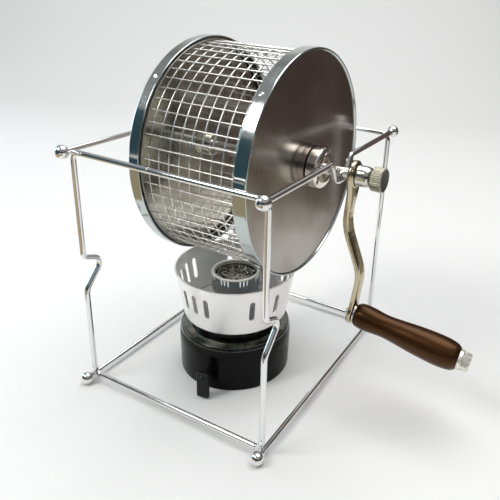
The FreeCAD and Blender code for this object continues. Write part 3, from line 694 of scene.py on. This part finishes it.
def arm_half_width(z):
    """Half of the arm's width: round head, slim waist and round eye, blended."""
    waist = arm_waist / 2
    for away, end_r, arc, blend in (
        (axis_z - z, arm_head / 2, head_arc, head_blend),
        (z - eye_z, arm_eye / 2, eye_arc, eye_blend),
    ):
        if away < end_r * arc:
            return math.sqrt(max(end_r ** 2 - away ** 2, 0))
        if away < blend:
            s = (away - end_r * arc) / (blend - end_r * arc)
            start = end_r * math.sqrt(1 - arc ** 2)
            return start + (waist - start) * (1 - (1 - s) ** 2)
    return waist


def fine_line(line, step):
    """The same line with points no further apart than step."""
    out = [line[0]]
    for point in line[1:]:
        gap = (point - out[-1]).length
        parts = max(1, math.ceil(gap / step))
        start = out[-1]
        for i in range(1, parts + 1):
            out.append(start.lerp(point, i / parts))
    return out


arm_mesh = bmesh.new()
arm_sides = 32
arm_step = 0.8 * mm
arm_tip = 0.5 * mm
side_round = 0.55
face_round = 0.6
thin_at_tip = 0.55
thin_within = 6 * mm
line = fine_line(arm_line, arm_step)
sections = []
for i, point in enumerate(line):
    along = line[min(i + 1, len(line) - 1)] - line[max(i - 1, 0)]
    along.normalize()
    across = Vector((along.z, 0, -along.x))
    if across.x < 0:
        across = -across
    half = max(arm_half_width(point.z), arm_tip)
    thin = arm_thick / 2 * min(1.0, thin_at_tip + half / thin_within)
    ring = []
    for k in range(arm_sides):
        turn = 2 * math.pi * k / arm_sides
        c, s = math.cos(turn), math.sin(turn)
        y = half * math.copysign(abs(c) ** side_round, c)
        n = thin * math.copysign(abs(s) ** face_round, s)
        ring.append(arm_mesh.verts.new(point + across * n + Vector((0, y, 0))))
    sections.append(ring)
add_skin(arm_mesh, sections, ends=True)
arm = finished("crank_arm_cast", arm_mesh, [crank_nickel], 60)
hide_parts("crank_arm")

boss_outer = 6.2 * mm
boss_straight = 6.2 * mm
boss_nose = 4.2 * mm
boss_foot = 1.6 * mm
boss_end = nut_low.x - 0.1 * mm - arm_top_x
arm_back = -arm_thick / 2
arm_front = arm_thick / 2
boss_outline = [
    (shaft_thick / 2, arm_back - 0.3 * mm, 0.2 * mm, 0),
    (boss_outer - 0.5 * mm, arm_back - 0.3 * mm, 0.3 * mm, 0),
    (boss_outer + 1.0 * mm, arm_back + 0.6 * mm, 0.3 * mm, 0),
    (boss_outer + boss_foot, arm_front - 0.2 * mm, 0.4 * mm, 0),
    (boss_outer + 0.5 * mm, arm_front + 0.4 * mm, 0.2 * mm, 2),
    (boss_outer, arm_front + 1.3 * mm, 0.4 * mm, 1),
    (boss_outer, arm_front + boss_straight, 0.8 * mm, 1),
    (boss_nose + 1.4 * mm, arm_front + boss_straight + 1.8 * mm, 1.2 * mm, 1),
    (boss_nose, boss_end, 0.3 * mm, 1),
    (shaft_thick / 2, boss_end, 0.1 * mm, 1),
]
boss_finishes = [crank_nickel, boss_nickel, boss_shade]
boss = turned("crank_boss", boss_outline, boss_finishes, on_axis(arm_top_x), right_way, steps=72)
for piece in (arm, boss):
    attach(piece, "drum")

# Thumb nut
# A turned nut with a straight knurl and chamfered edges, dull on its end face and painted darker
# there as shade. It screws on the end of the shaft and holds the crank on.
knurl_steel = spun_metal("knurl steel", (0.34, 0.33, 0.26), 0.24, 0.3 * mm, 0.01 * mm)
# The end face is rougher than the knurl and painted darker as shade.
nut_end_painted_shade = spun_metal("nut end painted shade", (0.20, 0.21, 0.20), 0.42, 0.3 * mm, 0.01 * mm)
knurl_count = 36
knurl_deep = 0.35 * mm
knurl_crest = 0.7
nut_outer = (nut_high.z - nut_low.z) / 2
nut_long = nut_high.x - nut_low.x
nut_chamfer = 0.6 * mm
nut_dish = nut_long - 0.25 * mm
nut_mesh = bmesh.new()
nut_steps = knurl_count * 6
nut_stations = [
    (stud_thick / 2, 0, 0, 0),
    (nut_outer - nut_chamfer, 0, 0, 0),
    (nut_outer, nut_chamfer, 1, 0),
    (nut_outer, nut_long - nut_chamfer, 1, 0),
    (nut_outer - nut_chamfer, nut_long, 0, 1),
    (nut_outer - 2 * nut_chamfer, nut_dish, 0, 1),
    (0, nut_dish, 0, 1),
]
nut_rings = []
for r, h, ridged, finish in nut_stations:
    radii = []
    for k in range(nut_steps if r > 0 else 1):
        ridge = abs(math.sin(math.pi * knurl_count * k / nut_steps)) ** knurl_crest
        radii.append(r - knurl_deep * ridged * (1 - ridge))
    nut_rings.append(add_ring(nut_mesh, radii, h))
add_skin(nut_mesh, nut_rings, [station[3] for station in nut_stations])
thumb_nut = finished("thumb_nut_knurled", nut_mesh, [knurl_steel, nut_end_painted_shade], 25)
stand(thumb_nut, on_axis(nut_low.x), right_way)
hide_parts("thumb_nut")
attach(thumb_nut, "thumb_nut")

# Grip
# Turned walnut, stained dark and waxed: a bulb at the arm, a slim neck, a long swell and rounded
# shoulders. It spins on a nickelled pin between two washers, held by a flat ended hexagon nut.


def dark_walnut():
    """Walnut with long grain along the grip, fine pores and a thin satin finish."""
    wax = {"Roughness": 0.30, "Specular IOR Level": 0.55, "Specular Tint": (1.0, 0.50, 0.22, 1)}
    material = new_finish("dark walnut", wax)
    figure = grain(material, (170, 170, 14), 6.0, distortion=0.6)
    brown = tones(material, figure, (0.35, (0.008, 0.004, 0.002)), (0.68, (0.046, 0.017, 0.005)))
    feed(material, "Base Color", brown)
    add_relief(material, grain(material, (2200, 2200, 160), 2.0), 0.22, 0.1 * mm)
    return material


walnut = dark_walnut()
nickel = mirror_chrome("pin nickel", (0.78, 0.77, 0.74), 0.12, 5 * mm)
satin_nickel = mirror_chrome("satin nickel", (0.88, 0.86, 0.78), 0.24, 5 * mm)
satin_nickel.node_tree.nodes["Principled BSDF"].inputs["Metallic"].default_value = 0.7
grip_way = Vector((math.cos(arm_lean), 0, -math.sin(arm_lean)))
pin_thick = 5 * mm
washer_thick = 0.9 * mm
grip_play = 0.15 * mm
grip_long = 66 * mm
grip_start = arm_thick / 2 + washer_thick + grip_play
pin_hole = pin_thick / 2 + 0.08 * mm
grip_stations = [
    (0.0, 12.9), (0.03, 15.1), (0.12, 15.9), (0.31, 14.2),
    (0.60, 17.4), (0.84, 18.6), (0.96, 16.6), (1.0, 13.4),
]


def smooth_profile(stations, steps):
    """Diameters between the stations, on a smooth curve through all of them."""
    out = []
    for i in range(len(stations) - 1):
        s0, d0 = stations[max(i - 1, 0)]
        s1, d1 = stations[i]
        s2, d2 = stations[i + 1]
        s3, d3 = stations[min(i + 2, len(stations) - 1)]
        rise1 = (d2 - d0) / (s2 - s0)
        rise2 = (d3 - d1) / (s3 - s1)
        for k in range(steps):
            t = k / steps
            gap = s2 - s1
            d = (2 * t ** 3 - 3 * t ** 2 + 1) * d1 + (t ** 3 - 2 * t ** 2 + t) * gap * rise1
            d += (3 * t ** 2 - 2 * t ** 3) * d2 + (t ** 3 - t ** 2) * gap * rise2
            out.append((s1 + t * gap, d))
    out.append(stations[-1])
    return out


grip_points = [(pin_hole, 0, 0.2 * mm, 0)]
for s, d in smooth_profile(grip_stations, 8):
    grip_points.append((d / 2 * mm, s * grip_long, 0, 0))
grip_points.append((pin_hole, grip_long, 0.2 * mm, 0))
grip_base = eye + grip_way * grip_start
grip = turned("grip_walnut", grip_points, [walnut], grip_base, grip_way, steps=96, sharp=50)
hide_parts("grip")
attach(grip, "grip")

grip_end = grip_start + grip_long + grip_play
ferrule_outer = 6.25 * mm
ferrule_thick = 2.2 * mm
ferrule = [
    (pin_thick / 2, 0, 0, 0),
    (ferrule_outer, 0, 0.2 * mm, 0),
    (ferrule_outer, ferrule_thick, 0.5 * mm, 0),
    (pin_thick / 2, ferrule_thick, 0, 0),
]
washer_base = eye + grip_way * grip_end
end_washer = turned("end_washer_round", ferrule, [satin_nickel], washer_base, grip_way, steps=64)
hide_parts("end_washer")
hex_across = 10 * mm
hex_high = 5.0 * mm
hex_corner = hex_across / math.sqrt(3)
hex_sides = 72
sixth = math.pi / 3
hex_stations = (
    (0, 0.93), (0.3 * mm, 1.0), (hex_high - 1.3 * mm, 0.99),
    (hex_high - 0.5 * mm, 0.86), (hex_high - 0.1 * mm, 0.72), (hex_high, 0.60),
)
hex_mesh = bmesh.new()
hex_rings = []
for h, limit in hex_stations:
    radii = []
    for k in range(hex_sides):
        turn = 2 * math.pi * k / hex_sides
        flat = math.cos(sixth / 2) / math.cos((turn + sixth / 2) % sixth - sixth / 2)
        radii.append(hex_corner * min(flat, limit))
    hex_rings.append(add_ring(hex_mesh, radii, h))
add_skin(hex_mesh, hex_rings, ends=True)
cap_nut = finished("cap_nut_blind", hex_mesh, [satin_nickel], 28)
stand(cap_nut, eye + grip_way * (grip_end + ferrule_thick), grip_way)
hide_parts("cap_nut")
for piece in (end_washer, cap_nut):
    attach(piece, "drum")

# Burner base
# A moulded black base, glossy, with a raised lip, a dished ledge inside it and a neck. The tank,
# valve and refill valve sit inside, closed by a flat cover underneath.


def glossy_black(name, colour, dust_and_highlight_colour, roughness, shine, polish):
    """Moulded gloss, greyed and dulled in patches: faint dusting, and on the ledge a painted highlight.
    """
    gloss = {"Specular IOR Level": shine, "Coat Weight": polish, "Coat Roughness": 0.06}
    material = new_finish(name, gloss)
    dust_and_highlight = grain(material, 1 / (11 * mm), 5.0)
    vary_gloss(material, dust_and_highlight, 0.35, 0.7, roughness, roughness * 1.9)
    feed(material, "Base Color", tones(material, dust_and_highlight, (0.42, colour), (0.70, dust_and_highlight_colour)))
    return material


moulded_black = (0.002, 0.0022, 0.002)
base_black = glossy_black("base black", moulded_black, (0.004, 0.004, 0.004), 0.16, 0.12, 0.0)
# The ledge is a lighter copy of the black moulding. Its bright olive patches are a painted highlight,
# the light reflected in the dish.
base_ledge_painted_highlight = glossy_black("base ledge painted highlight", (0.035, 0.038, 0.028), (0.26, 0.27, 0.21), 0.09, 0.6, 1.0)
base_edge = glossy_black("base edge", moulded_black, (0.006, 0.006, 0.006), 0.06, 0.6, 0.6)
base_low, base_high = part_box("burner_base")
burner = Vector(((base_low.x + base_high.x) / 2, (base_low.y + base_high.y) / 2, 0))
base_outer = (base_high.x - base_low.x) / 2
deck_z = base_high.z
deck_under = deck_z - 2 * mm
foot_z = 0.02 * mm
foot_outer = base_outer - 0.5 * mm
foot_inner = foot_outer - 2.5 * mm
wall_top = 31.6 * mm
shoulder = 6.6 * mm
crest = base_outer - 1.8 * mm
crest_half = 0.4 * mm
ledge_z = wall_top - 1.3 * mm
ledge_under = ledge_z - 2.5 * mm
neck_outer = base_outer - 8.5 * mm
neck_inner = neck_outer - 2.5 * mm
deck_hole = 6.53 * mm
base_outline = [
    (foot_inner, foot_z, 0, 0),
    (foot_outer, foot_z, 0.6 * mm, 0),
    (base_outer - 0.3 * mm, wall_top / 3, 2.0 * mm, 0),
    (base_outer, wall_top - shoulder, 0.5 * mm, 0),
    (base_outer - 0.25 * mm, wall_top - 0.55 * shoulder, 1.2 * mm, 0),
    (base_outer - 0.65 * mm, wall_top - 0.2 * shoulder, 1.2 * mm, 2),
    (crest + crest_half, wall_top, 0.5 * mm, 2),
    (crest - crest_half, wall_top, 0.4 * mm, 1),
    (crest - 2.2 * mm, ledge_z, 1.4 * mm, 1),
    (neck_outer + 1.8 * mm, ledge_z + 0.25 * mm, 1.4 * mm, 1),
    (neck_outer, wall_top, 0.8 * mm, 0),
    (neck_outer, deck_z, 0.5 * mm, 0),
    (deck_hole, deck_z, 0, 0),
    (deck_hole, deck_under, 0, 0),
    (neck_inner, deck_under, 0, 0),
    (neck_inner, ledge_under, 0, 0),
    (foot_inner, ledge_under, 0, 0),
]
base_finishes = [base_black, base_ledge_painted_highlight, base_edge]
base = turned("burner_base_moulded", base_outline, base_finishes, burner, up, steps=192)
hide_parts("burner_base")
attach(base, "stand")

# Windshield
# A cup spun from 0.8 mm aluminium and left satin, its rim rolled outwards. Five groups of three
# upright slots are punched in its wall to let the flame draw air.
shield_aluminium = spun_metal("shield aluminium", (0.96, 0.95, 0.93), 0.34, 0.9 * mm, 0.02 * mm)
# The floor inside the cup is the same aluminium, painted a darker grey as shade.
shield_floor_painted_shade = spun_metal("shield floor painted shade", (0.45, 0.45, 0.45), 0.40, 0.9 * mm, 0.02 * mm)
shield_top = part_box("windshield")[1].z
shield_foot = 33.9 * mm
shield_wide = 39.4 * mm
shield_hole = 7.5 * mm
roll = 0.7 * mm
roll_out = shield_wide + roll / 2
slot_groups = 5
slots_in_group = 3
slot_group_angle = -98.0
slot_step = 13.5
slot_z = 58.5 * mm
slot_high = 14.3 * mm
slot_wide = 3.5 * mm
slot_sides = 24
punch_near = 30 * mm
punch_far = 45 * mm
cup_outline = [
    (shield_hole, deck_z, 0, 0),
    (shield_foot, deck_z, 1.2 * mm, 0),
    (shield_wide, shield_top - roll, 0.2 * mm, 0),
    (roll_out, shield_top - 0.6 * roll, 0.2 * mm, 0),
    (roll_out, shield_top, 0.3 * mm, 0),
    (shield_wide - sheet, shield_top, 0.2 * mm, 0),
    (shield_foot - sheet, deck_z + sheet, 1.0 * mm, 1),
    (shield_hole, deck_z + sheet, 0, 1),
]
cup_finishes = [shield_aluminium, shield_floor_painted_shade]
cup = turned("windshield_cup", cup_outline, cup_finishes, burner, up, steps=240)
punch_mesh = bmesh.new()
for group in range(slot_groups):
    for slot in range(slots_in_group):
        angle = slot_group_angle + 360 / slot_groups * group
        angle += slot_step * (slot - (slots_in_group - 1) / 2)
        radial = Vector((math.cos(math.radians(angle)), math.sin(math.radians(angle)), 0))
        across = Vector((-radial.y, radial.x, 0))
        near, far = [], []
        for k in range(slot_sides):
            turn = 2 * math.pi * (k + 0.5) / slot_sides
            lift = math.copysign(slot_high / 2 - slot_wide / 2, math.sin(turn))
            flat = across * (slot_wide / 2 * math.cos(turn))
            rise = up * (slot_z + lift + slot_wide / 2 * math.sin(turn))
            near.append(punch_mesh.verts.new(radial * punch_near + flat + rise))
            far.append(punch_mesh.verts.new(radial * punch_far + flat + rise))
        add_skin(punch_mesh, [near, far], ends=True)
punch = finished("slot_punch", punch_mesh, [shield_aluminium])
punch.matrix_world = Matrix.Translation(burner)
cut = cup.modifiers.new("slots", "BOOLEAN")
cut.operation = "DIFFERENCE"
cut.object = punch
cut.solver = "EXACT"
bpy.context.view_layer.update()
punched = bpy.data.meshes.new_from_object(cup.evaluated_get(bpy.context.evaluated_depsgraph_get()))
cup.modifiers.clear()
cup.data = punched
punched.set_sharp_from_angle(angle=math.radians(30))
bpy.data.objects.remove(punch)
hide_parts("windshield")
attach(cup, "stand")

# Burner head
# A chromed steel cup on the mixing tube, rolled in at its mouth, with a dished disc of dark
# woven wire under the rim where the gas burns.
head_chrome = spun_metal("head chrome", (0.60, 0.64, 0.64), 0.05, 1.0 * mm, 0.01 * mm)
head_rim = spun_metal("head rim", (0.92, 0.90, 0.84), 0.32, 1.0 * mm, 0.01 * mm)
head_rim.node_tree.nodes["Principled BSDF"].inputs["Metallic"].default_value = 0.6
flame_dark = spun_metal("flame disc", (0.04, 0.04, 0.035), 0.5, 0.8 * mm, 0.02 * mm)


def scorched_wire():
    """Fine wire cloth that the flame has blackened in swirls."""
    material = drawn_steel("scorched wire", (0.3, 0.3, 0.3), 0.20, (900, 900, 900))
    swirls = grain(material, 1 / (5 * mm), 3.0, distortion=2.2)
    soot = tones(material, swirls, (0.42, (0.010, 0.010, 0.008)), (0.56, (0.75, 0.74, 0.66)))
    feed(material, "Base Color", soot)
    return material


flame_wire = scorched_wire()
head_low, head_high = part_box("burner_head")
disc_low, disc_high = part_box("flame_disc")
head_outer = (head_high.x - head_low.x) / 2
head_tall = head_high.z - head_low.z
head_wall = 1 * mm
head_lip = 2.0 * mm
tube_outer = 6.5 * mm
head_outline = [
    (tube_outer, 0, 0, 0),
    (head_outer - 0.2 * mm, 0, 1.5 * mm, 0),
    (head_outer, head_tall - 2.4 * mm, 0.2 * mm, 0),
    (head_outer, head_tall, 1.0 * mm, 1),
    (head_outer - head_lip, head_tall, 0.8 * mm, 1),
    (head_outer - head_lip - 0.2 * mm, head_tall - 3 * mm, 0.2 * mm, 0),
    (head_outer - head_wall, head_tall - 3.2 * mm, 0, 0),
    (head_outer - head_wall, head_wall, 0, 0),
    (tube_outer, head_wall, 0, 0),
]
head_base = Vector((burner.x, burner.y, head_low.z))
head = turned("burner_head_cup", head_outline, [head_chrome, head_rim], head_base, up)
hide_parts("burner_head")
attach(head, "stand")

disc_outer = (disc_high.x - disc_low.x) / 2
disc_dish = 1.3 * mm
disc_front = -0.4 * mm
disc_back = -1.0 * mm
disc_outline = [
    (0, disc_front - disc_dish, 0, 0),
    (disc_outer, disc_front, 0, 0),
    (disc_outer, disc_back, 0, 0),
    (0, disc_back - disc_dish, 0, 0),
]
weave_pitch = 1.5 * mm
weave_thick = 0.42 * mm
weave_lift = weave_thick * 0.45
weave_edge = disc_outer - 1.4 * mm
weave_rows = int(weave_edge / weave_pitch)
weave_facet = 0.5 * mm * mm
strand_sides = 6
disc_mesh = bmesh.new()
add_turned(disc_mesh, disc_outline, False, 64)
for row in range(-weave_rows, weave_rows + 1):
    across = row * weave_pitch
    reach = math.sqrt(weave_edge ** 2 - across ** 2)
    strand_steps = max(4, int(4 * reach / weave_pitch))
    for crossing in (False, True):
        strand = []
        for k in range(strand_steps + 1):
            a = -reach + 2 * reach * k / strand_steps
            dish = disc_dish * (1 - (a * a + across * across) / disc_outer ** 2)
            wave = math.cos(math.pi * a / weave_pitch) * (1 if row % 2 else -1)
            lift = weave_lift * wave * (-1 if crossing else 1)
            x, y = (across, a) if crossing else (a, across)
            strand.append(Vector((x, y, lift - dish)))
        add_wire(disc_mesh, strand, weave_thick, strand_sides)
# Only the strands have four sided faces this small.
for face in disc_mesh.faces:
    face.material_index = int(len(face.verts) == 4 and face.calc_area() < weave_facet)
flame_disc = finished("flame_disc_woven", disc_mesh, [flame_dark, flame_wire], 50)
flame_disc.matrix_world = Matrix.Translation((burner.x, burner.y, disc_high.z - weave_thick))
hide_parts("flame_disc")
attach(flame_disc, "stand")

# Lever
# A moulded black lever pressed on the valve's stem and held by a screw, with a flat tab that
# hangs down in front of the base. It keeps the shape of its solid.
lever_black = glossy_black("lever black", (0.005, 0.005, 0.005), (0.009, 0.009, 0.009), 0.26, 0.25, 0.0)


def keep_shape(node, finish):
    """Gives a solid that is shown as it is the finish of what it is made from."""
    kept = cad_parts[node].data
    kept.materials.clear()
    kept.materials.append(finish)


keep_shape("valve_lever", lever_black)

# Small fixings and inner pieces
# Screws, washer and pin hold the rest together. Cover, tank, valves, tube, jet and mixing tube sit
# in the base and under the head. They keep the shapes of their solids.
black_oxide = plated_casting("black oxide", (0.035, 0.035, 0.038), 0.35)
turned_brass = spun_metal("turned brass", (0.72, 0.55, 0.27), 0.25, 0.5 * mm, 0.01 * mm)
zinc_plate = spun_metal("zinc plate", (0.62, 0.63, 0.64), 0.32, 0.8 * mm, 0.01 * mm)
for finish, nodes in (
    (base_black, ("base_cover",)),
    (black_oxide, ("cover_screws", "lever_screw")),
    (turned_brass, ("refill_valve", "valve_body", "gas_tube", "gas_jet")),
    (zinc_plate, ("gas_tank", "mixing_tube", "shield_screws")),
    (nickel, ("grip_pin", "arm_washer", "hub_set_screw", "arm_set_screw")),
):
    for node in nodes:
        keep_shape(node, finish)

# Studio
# A seamless white sweep, a round pale wall that only the camera sees, and three soft lights. The
# flags show in reflections only, and give the chrome its dark, brown, blue and gold lines.
bpy.context.scene.view_settings.view_transform = "Standard"


def plain_surface(name, colour, roughness):
    """One matt colour."""
    return new_finish(name, {"Base Color": (*colour, 1), "Roughness": roughness})


def hung_sheet(name, rows, finish):
    """A sheet of the studio through rows of two points."""
    mesh = bmesh.new()
    edges = [[mesh.verts.new(point) for point in row] for row in rows]
    for row, next_row in zip(edges, edges[1:]):
        mesh.faces.new((row[0], row[1], next_row[1], next_row[0]))
    return finished(name, mesh, [finish], 60)


stage_white = plain_surface("stage white", (0.80, 0.798, 0.785), 0.75)
sweep_half = 1.6
sweep_front = -1.2
sweep_bend = 0.35
sweep_back = 0.75
sweep_top = 1.8
sweep_turn = math.radians(26)
bend_steps = 12
profile = [(sweep_front, 0.0)]
for i in range(bend_steps + 1):
    turn = math.radians(90 * i / bend_steps)
    profile.append((sweep_back + sweep_bend * math.sin(turn), sweep_bend * (1 - math.cos(turn))))
profile.append((sweep_back + sweep_bend, sweep_top))
rows = [[(x, y, z) for x in (-sweep_half, sweep_half)] for y, z in profile]
sweep = hung_sheet("studio_sweep", rows, stage_white)
sweep.rotation_euler = (0, 0, sweep_turn)
sweep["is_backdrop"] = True

wall_light = {"Emission Color": (0.72, 0.73, 0.73, 1), "Emission Strength": 1.0}
wall_pale = new_finish("wall pale", {"Base Color": (0, 0, 0, 1), "Roughness": 1.0, **wall_light})
wall_far = 3.2
wall_mesh = bmesh.new()
bmesh.ops.create_uvsphere(wall_mesh, u_segments=48, v_segments=24, radius=wall_far)
room_wall = finished("room_wall", wall_mesh, [wall_pale], 60)
room_wall.visible_diffuse = False
room_wall.visible_glossy = False
room_wall.visible_transmission = False
room_wall.visible_shadow = False
room_wall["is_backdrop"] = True

flag_steps = 16
brown, grey, umber = (0.055, 0.042, 0.032), (0.05, 0.05, 0.052), (0.095, 0.066, 0.058)
teal, olive, gold = (0.030, 0.080, 0.105), (0.34, 0.31, 0.24), (0.36, 0.285, 0.17)
for name, colour, foot_far, head_far, first, last, low, high in (
    ("flag_right", brown, 1.15, 1.15, -28, 74, 0.02, 0.62),
    ("flag_front", grey, 1.15, 1.15, -128, -34, 0.10, 0.66),
    ("flag_left", grey, 1.15, 1.15, 196, 222, 0.10, 0.45),
    ("flag_cap", umber, 0.30, 0.30, 46, 96, 0.012, 0.30),
    ("flag_cap_high", umber, 0.30, 0.30, 26, 46, 0.085, 0.30),
    ("flag_cap_low", olive, 0.29, 0.29, 26, 54, 0.0, 0.085),
    ("flag_teal", teal, 0.36, 0.36, 214, 262, 0.06, 0.34),
    ("flag_gold", gold, 0.21, 0.36, 190, 286, 0.001, 0.06),
    ("flag_line", grey, 0.21, 0.36, 286, 297, 0.001, 0.09),
):
    rows = []
    for i in range(flag_steps + 1):
        turn = math.radians(first + (last - first) * i / flag_steps)
        way = Vector((math.cos(turn), math.sin(turn), 0))
        rows.append([way * far + up * z for far, z in ((foot_far, low), (head_far, high))])
    flag = hung_sheet(name, rows, plain_surface(name, colour, 0.9))
    flag.visible_camera = False
    flag.visible_diffuse = False
    flag.visible_shadow = False
    flag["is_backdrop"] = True

world = bpy.context.scene.world or bpy.data.worlds.new("room")
bpy.context.scene.world = world
world.use_nodes = True
around = add_node(world, "TexCoord", {}, {}, "Generated")
height = add_node(world, "SeparateXYZ", {}, {"Vector": around}, "Z")
climb = add_node(world, "MapRange", {"From Min": -0.3, "From Max": 1.0}, {"Value": height}, "Result")
floor_tone, wall_tone, ceiling_tone = (0.45, 0.44, 0.43), (0.60, 0.60, 0.60), (0.95, 0.97, 1.0)
room = tones(world, climb, (0.0, floor_tone), (0.35, wall_tone), (1.0, ceiling_tone))
background = world.node_tree.nodes["Background"]
background.inputs["Strength"].default_value = 0.40
world.node_tree.links.new(room, background.inputs["Color"])

middle_point = Vector((0.02, 0, 0.10))


def soft_light(name, place, width, height, power, colour):
    """A rectangle of soft light, turned to the middle of the roaster."""
    lamp = bpy.data.lights.new(name, "AREA")
    lamp.shape = "RECTANGLE"
    lamp.size = width
    lamp.size_y = height
    lamp.energy = power
    lamp.color = colour
    holder = bpy.data.objects.new(name, lamp)
    holder.location = place
    holder.rotation_euler = (middle_point - place).to_track_quat("-Z", "Y").to_euler()
    bpy.context.scene.collection.objects.link(holder)


soft_light("key", Vector((-0.55, -0.75, 1.05)), 0.45, 0.45, 7.5, (1, 0.99, 0.97))
soft_light("cool", Vector((-1.0, -0.25, 0.42)), 0.35, 0.5, 2, (0.62, 0.84, 1.0))
soft_light("top", Vector((0.1, 0.25, 1.2)), 1.1, 0.9, 11, (1, 1, 1))

# Camera
# At the photograph's angle: in front of the right corner, above the drum, tipped a little. The
# photograph is cropped to one side of its lens axis, which the shift follows.
view_azimuth = math.radians(26.469)
view_elevation = math.radians(21.782)
view_roll = math.radians(3.413)
view_place = Vector((191.96, -288.50, 250.51)) * mm
camera_data = bpy.data.cameras.new("photo view")
camera_data.sensor_width = 36
camera_data.lens = 41.055
camera_data.shift_x = -0.126
camera_data.shift_y = -0.0852
camera_data.clip_start = 0.01
camera = bpy.data.objects.new("photo view", camera_data)
backward = Vector((
    math.sin(view_azimuth) * math.cos(view_elevation),
    -math.cos(view_azimuth) * math.cos(view_elevation),
    math.sin(view_elevation),
))
level = Vector((math.cos(view_azimuth), math.sin(view_azimuth), 0))
tipped = level * math.cos(view_roll) + backward.cross(level) * math.sin(view_roll)
upward = backward.cross(tipped)
camera.matrix_world = Matrix((tipped, upward, backward)).transposed().to_4x4()
camera.matrix_world.translation = view_place
bpy.context.scene.collection.objects.link(camera)
bpy.context.scene.camera = camera

low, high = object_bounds()
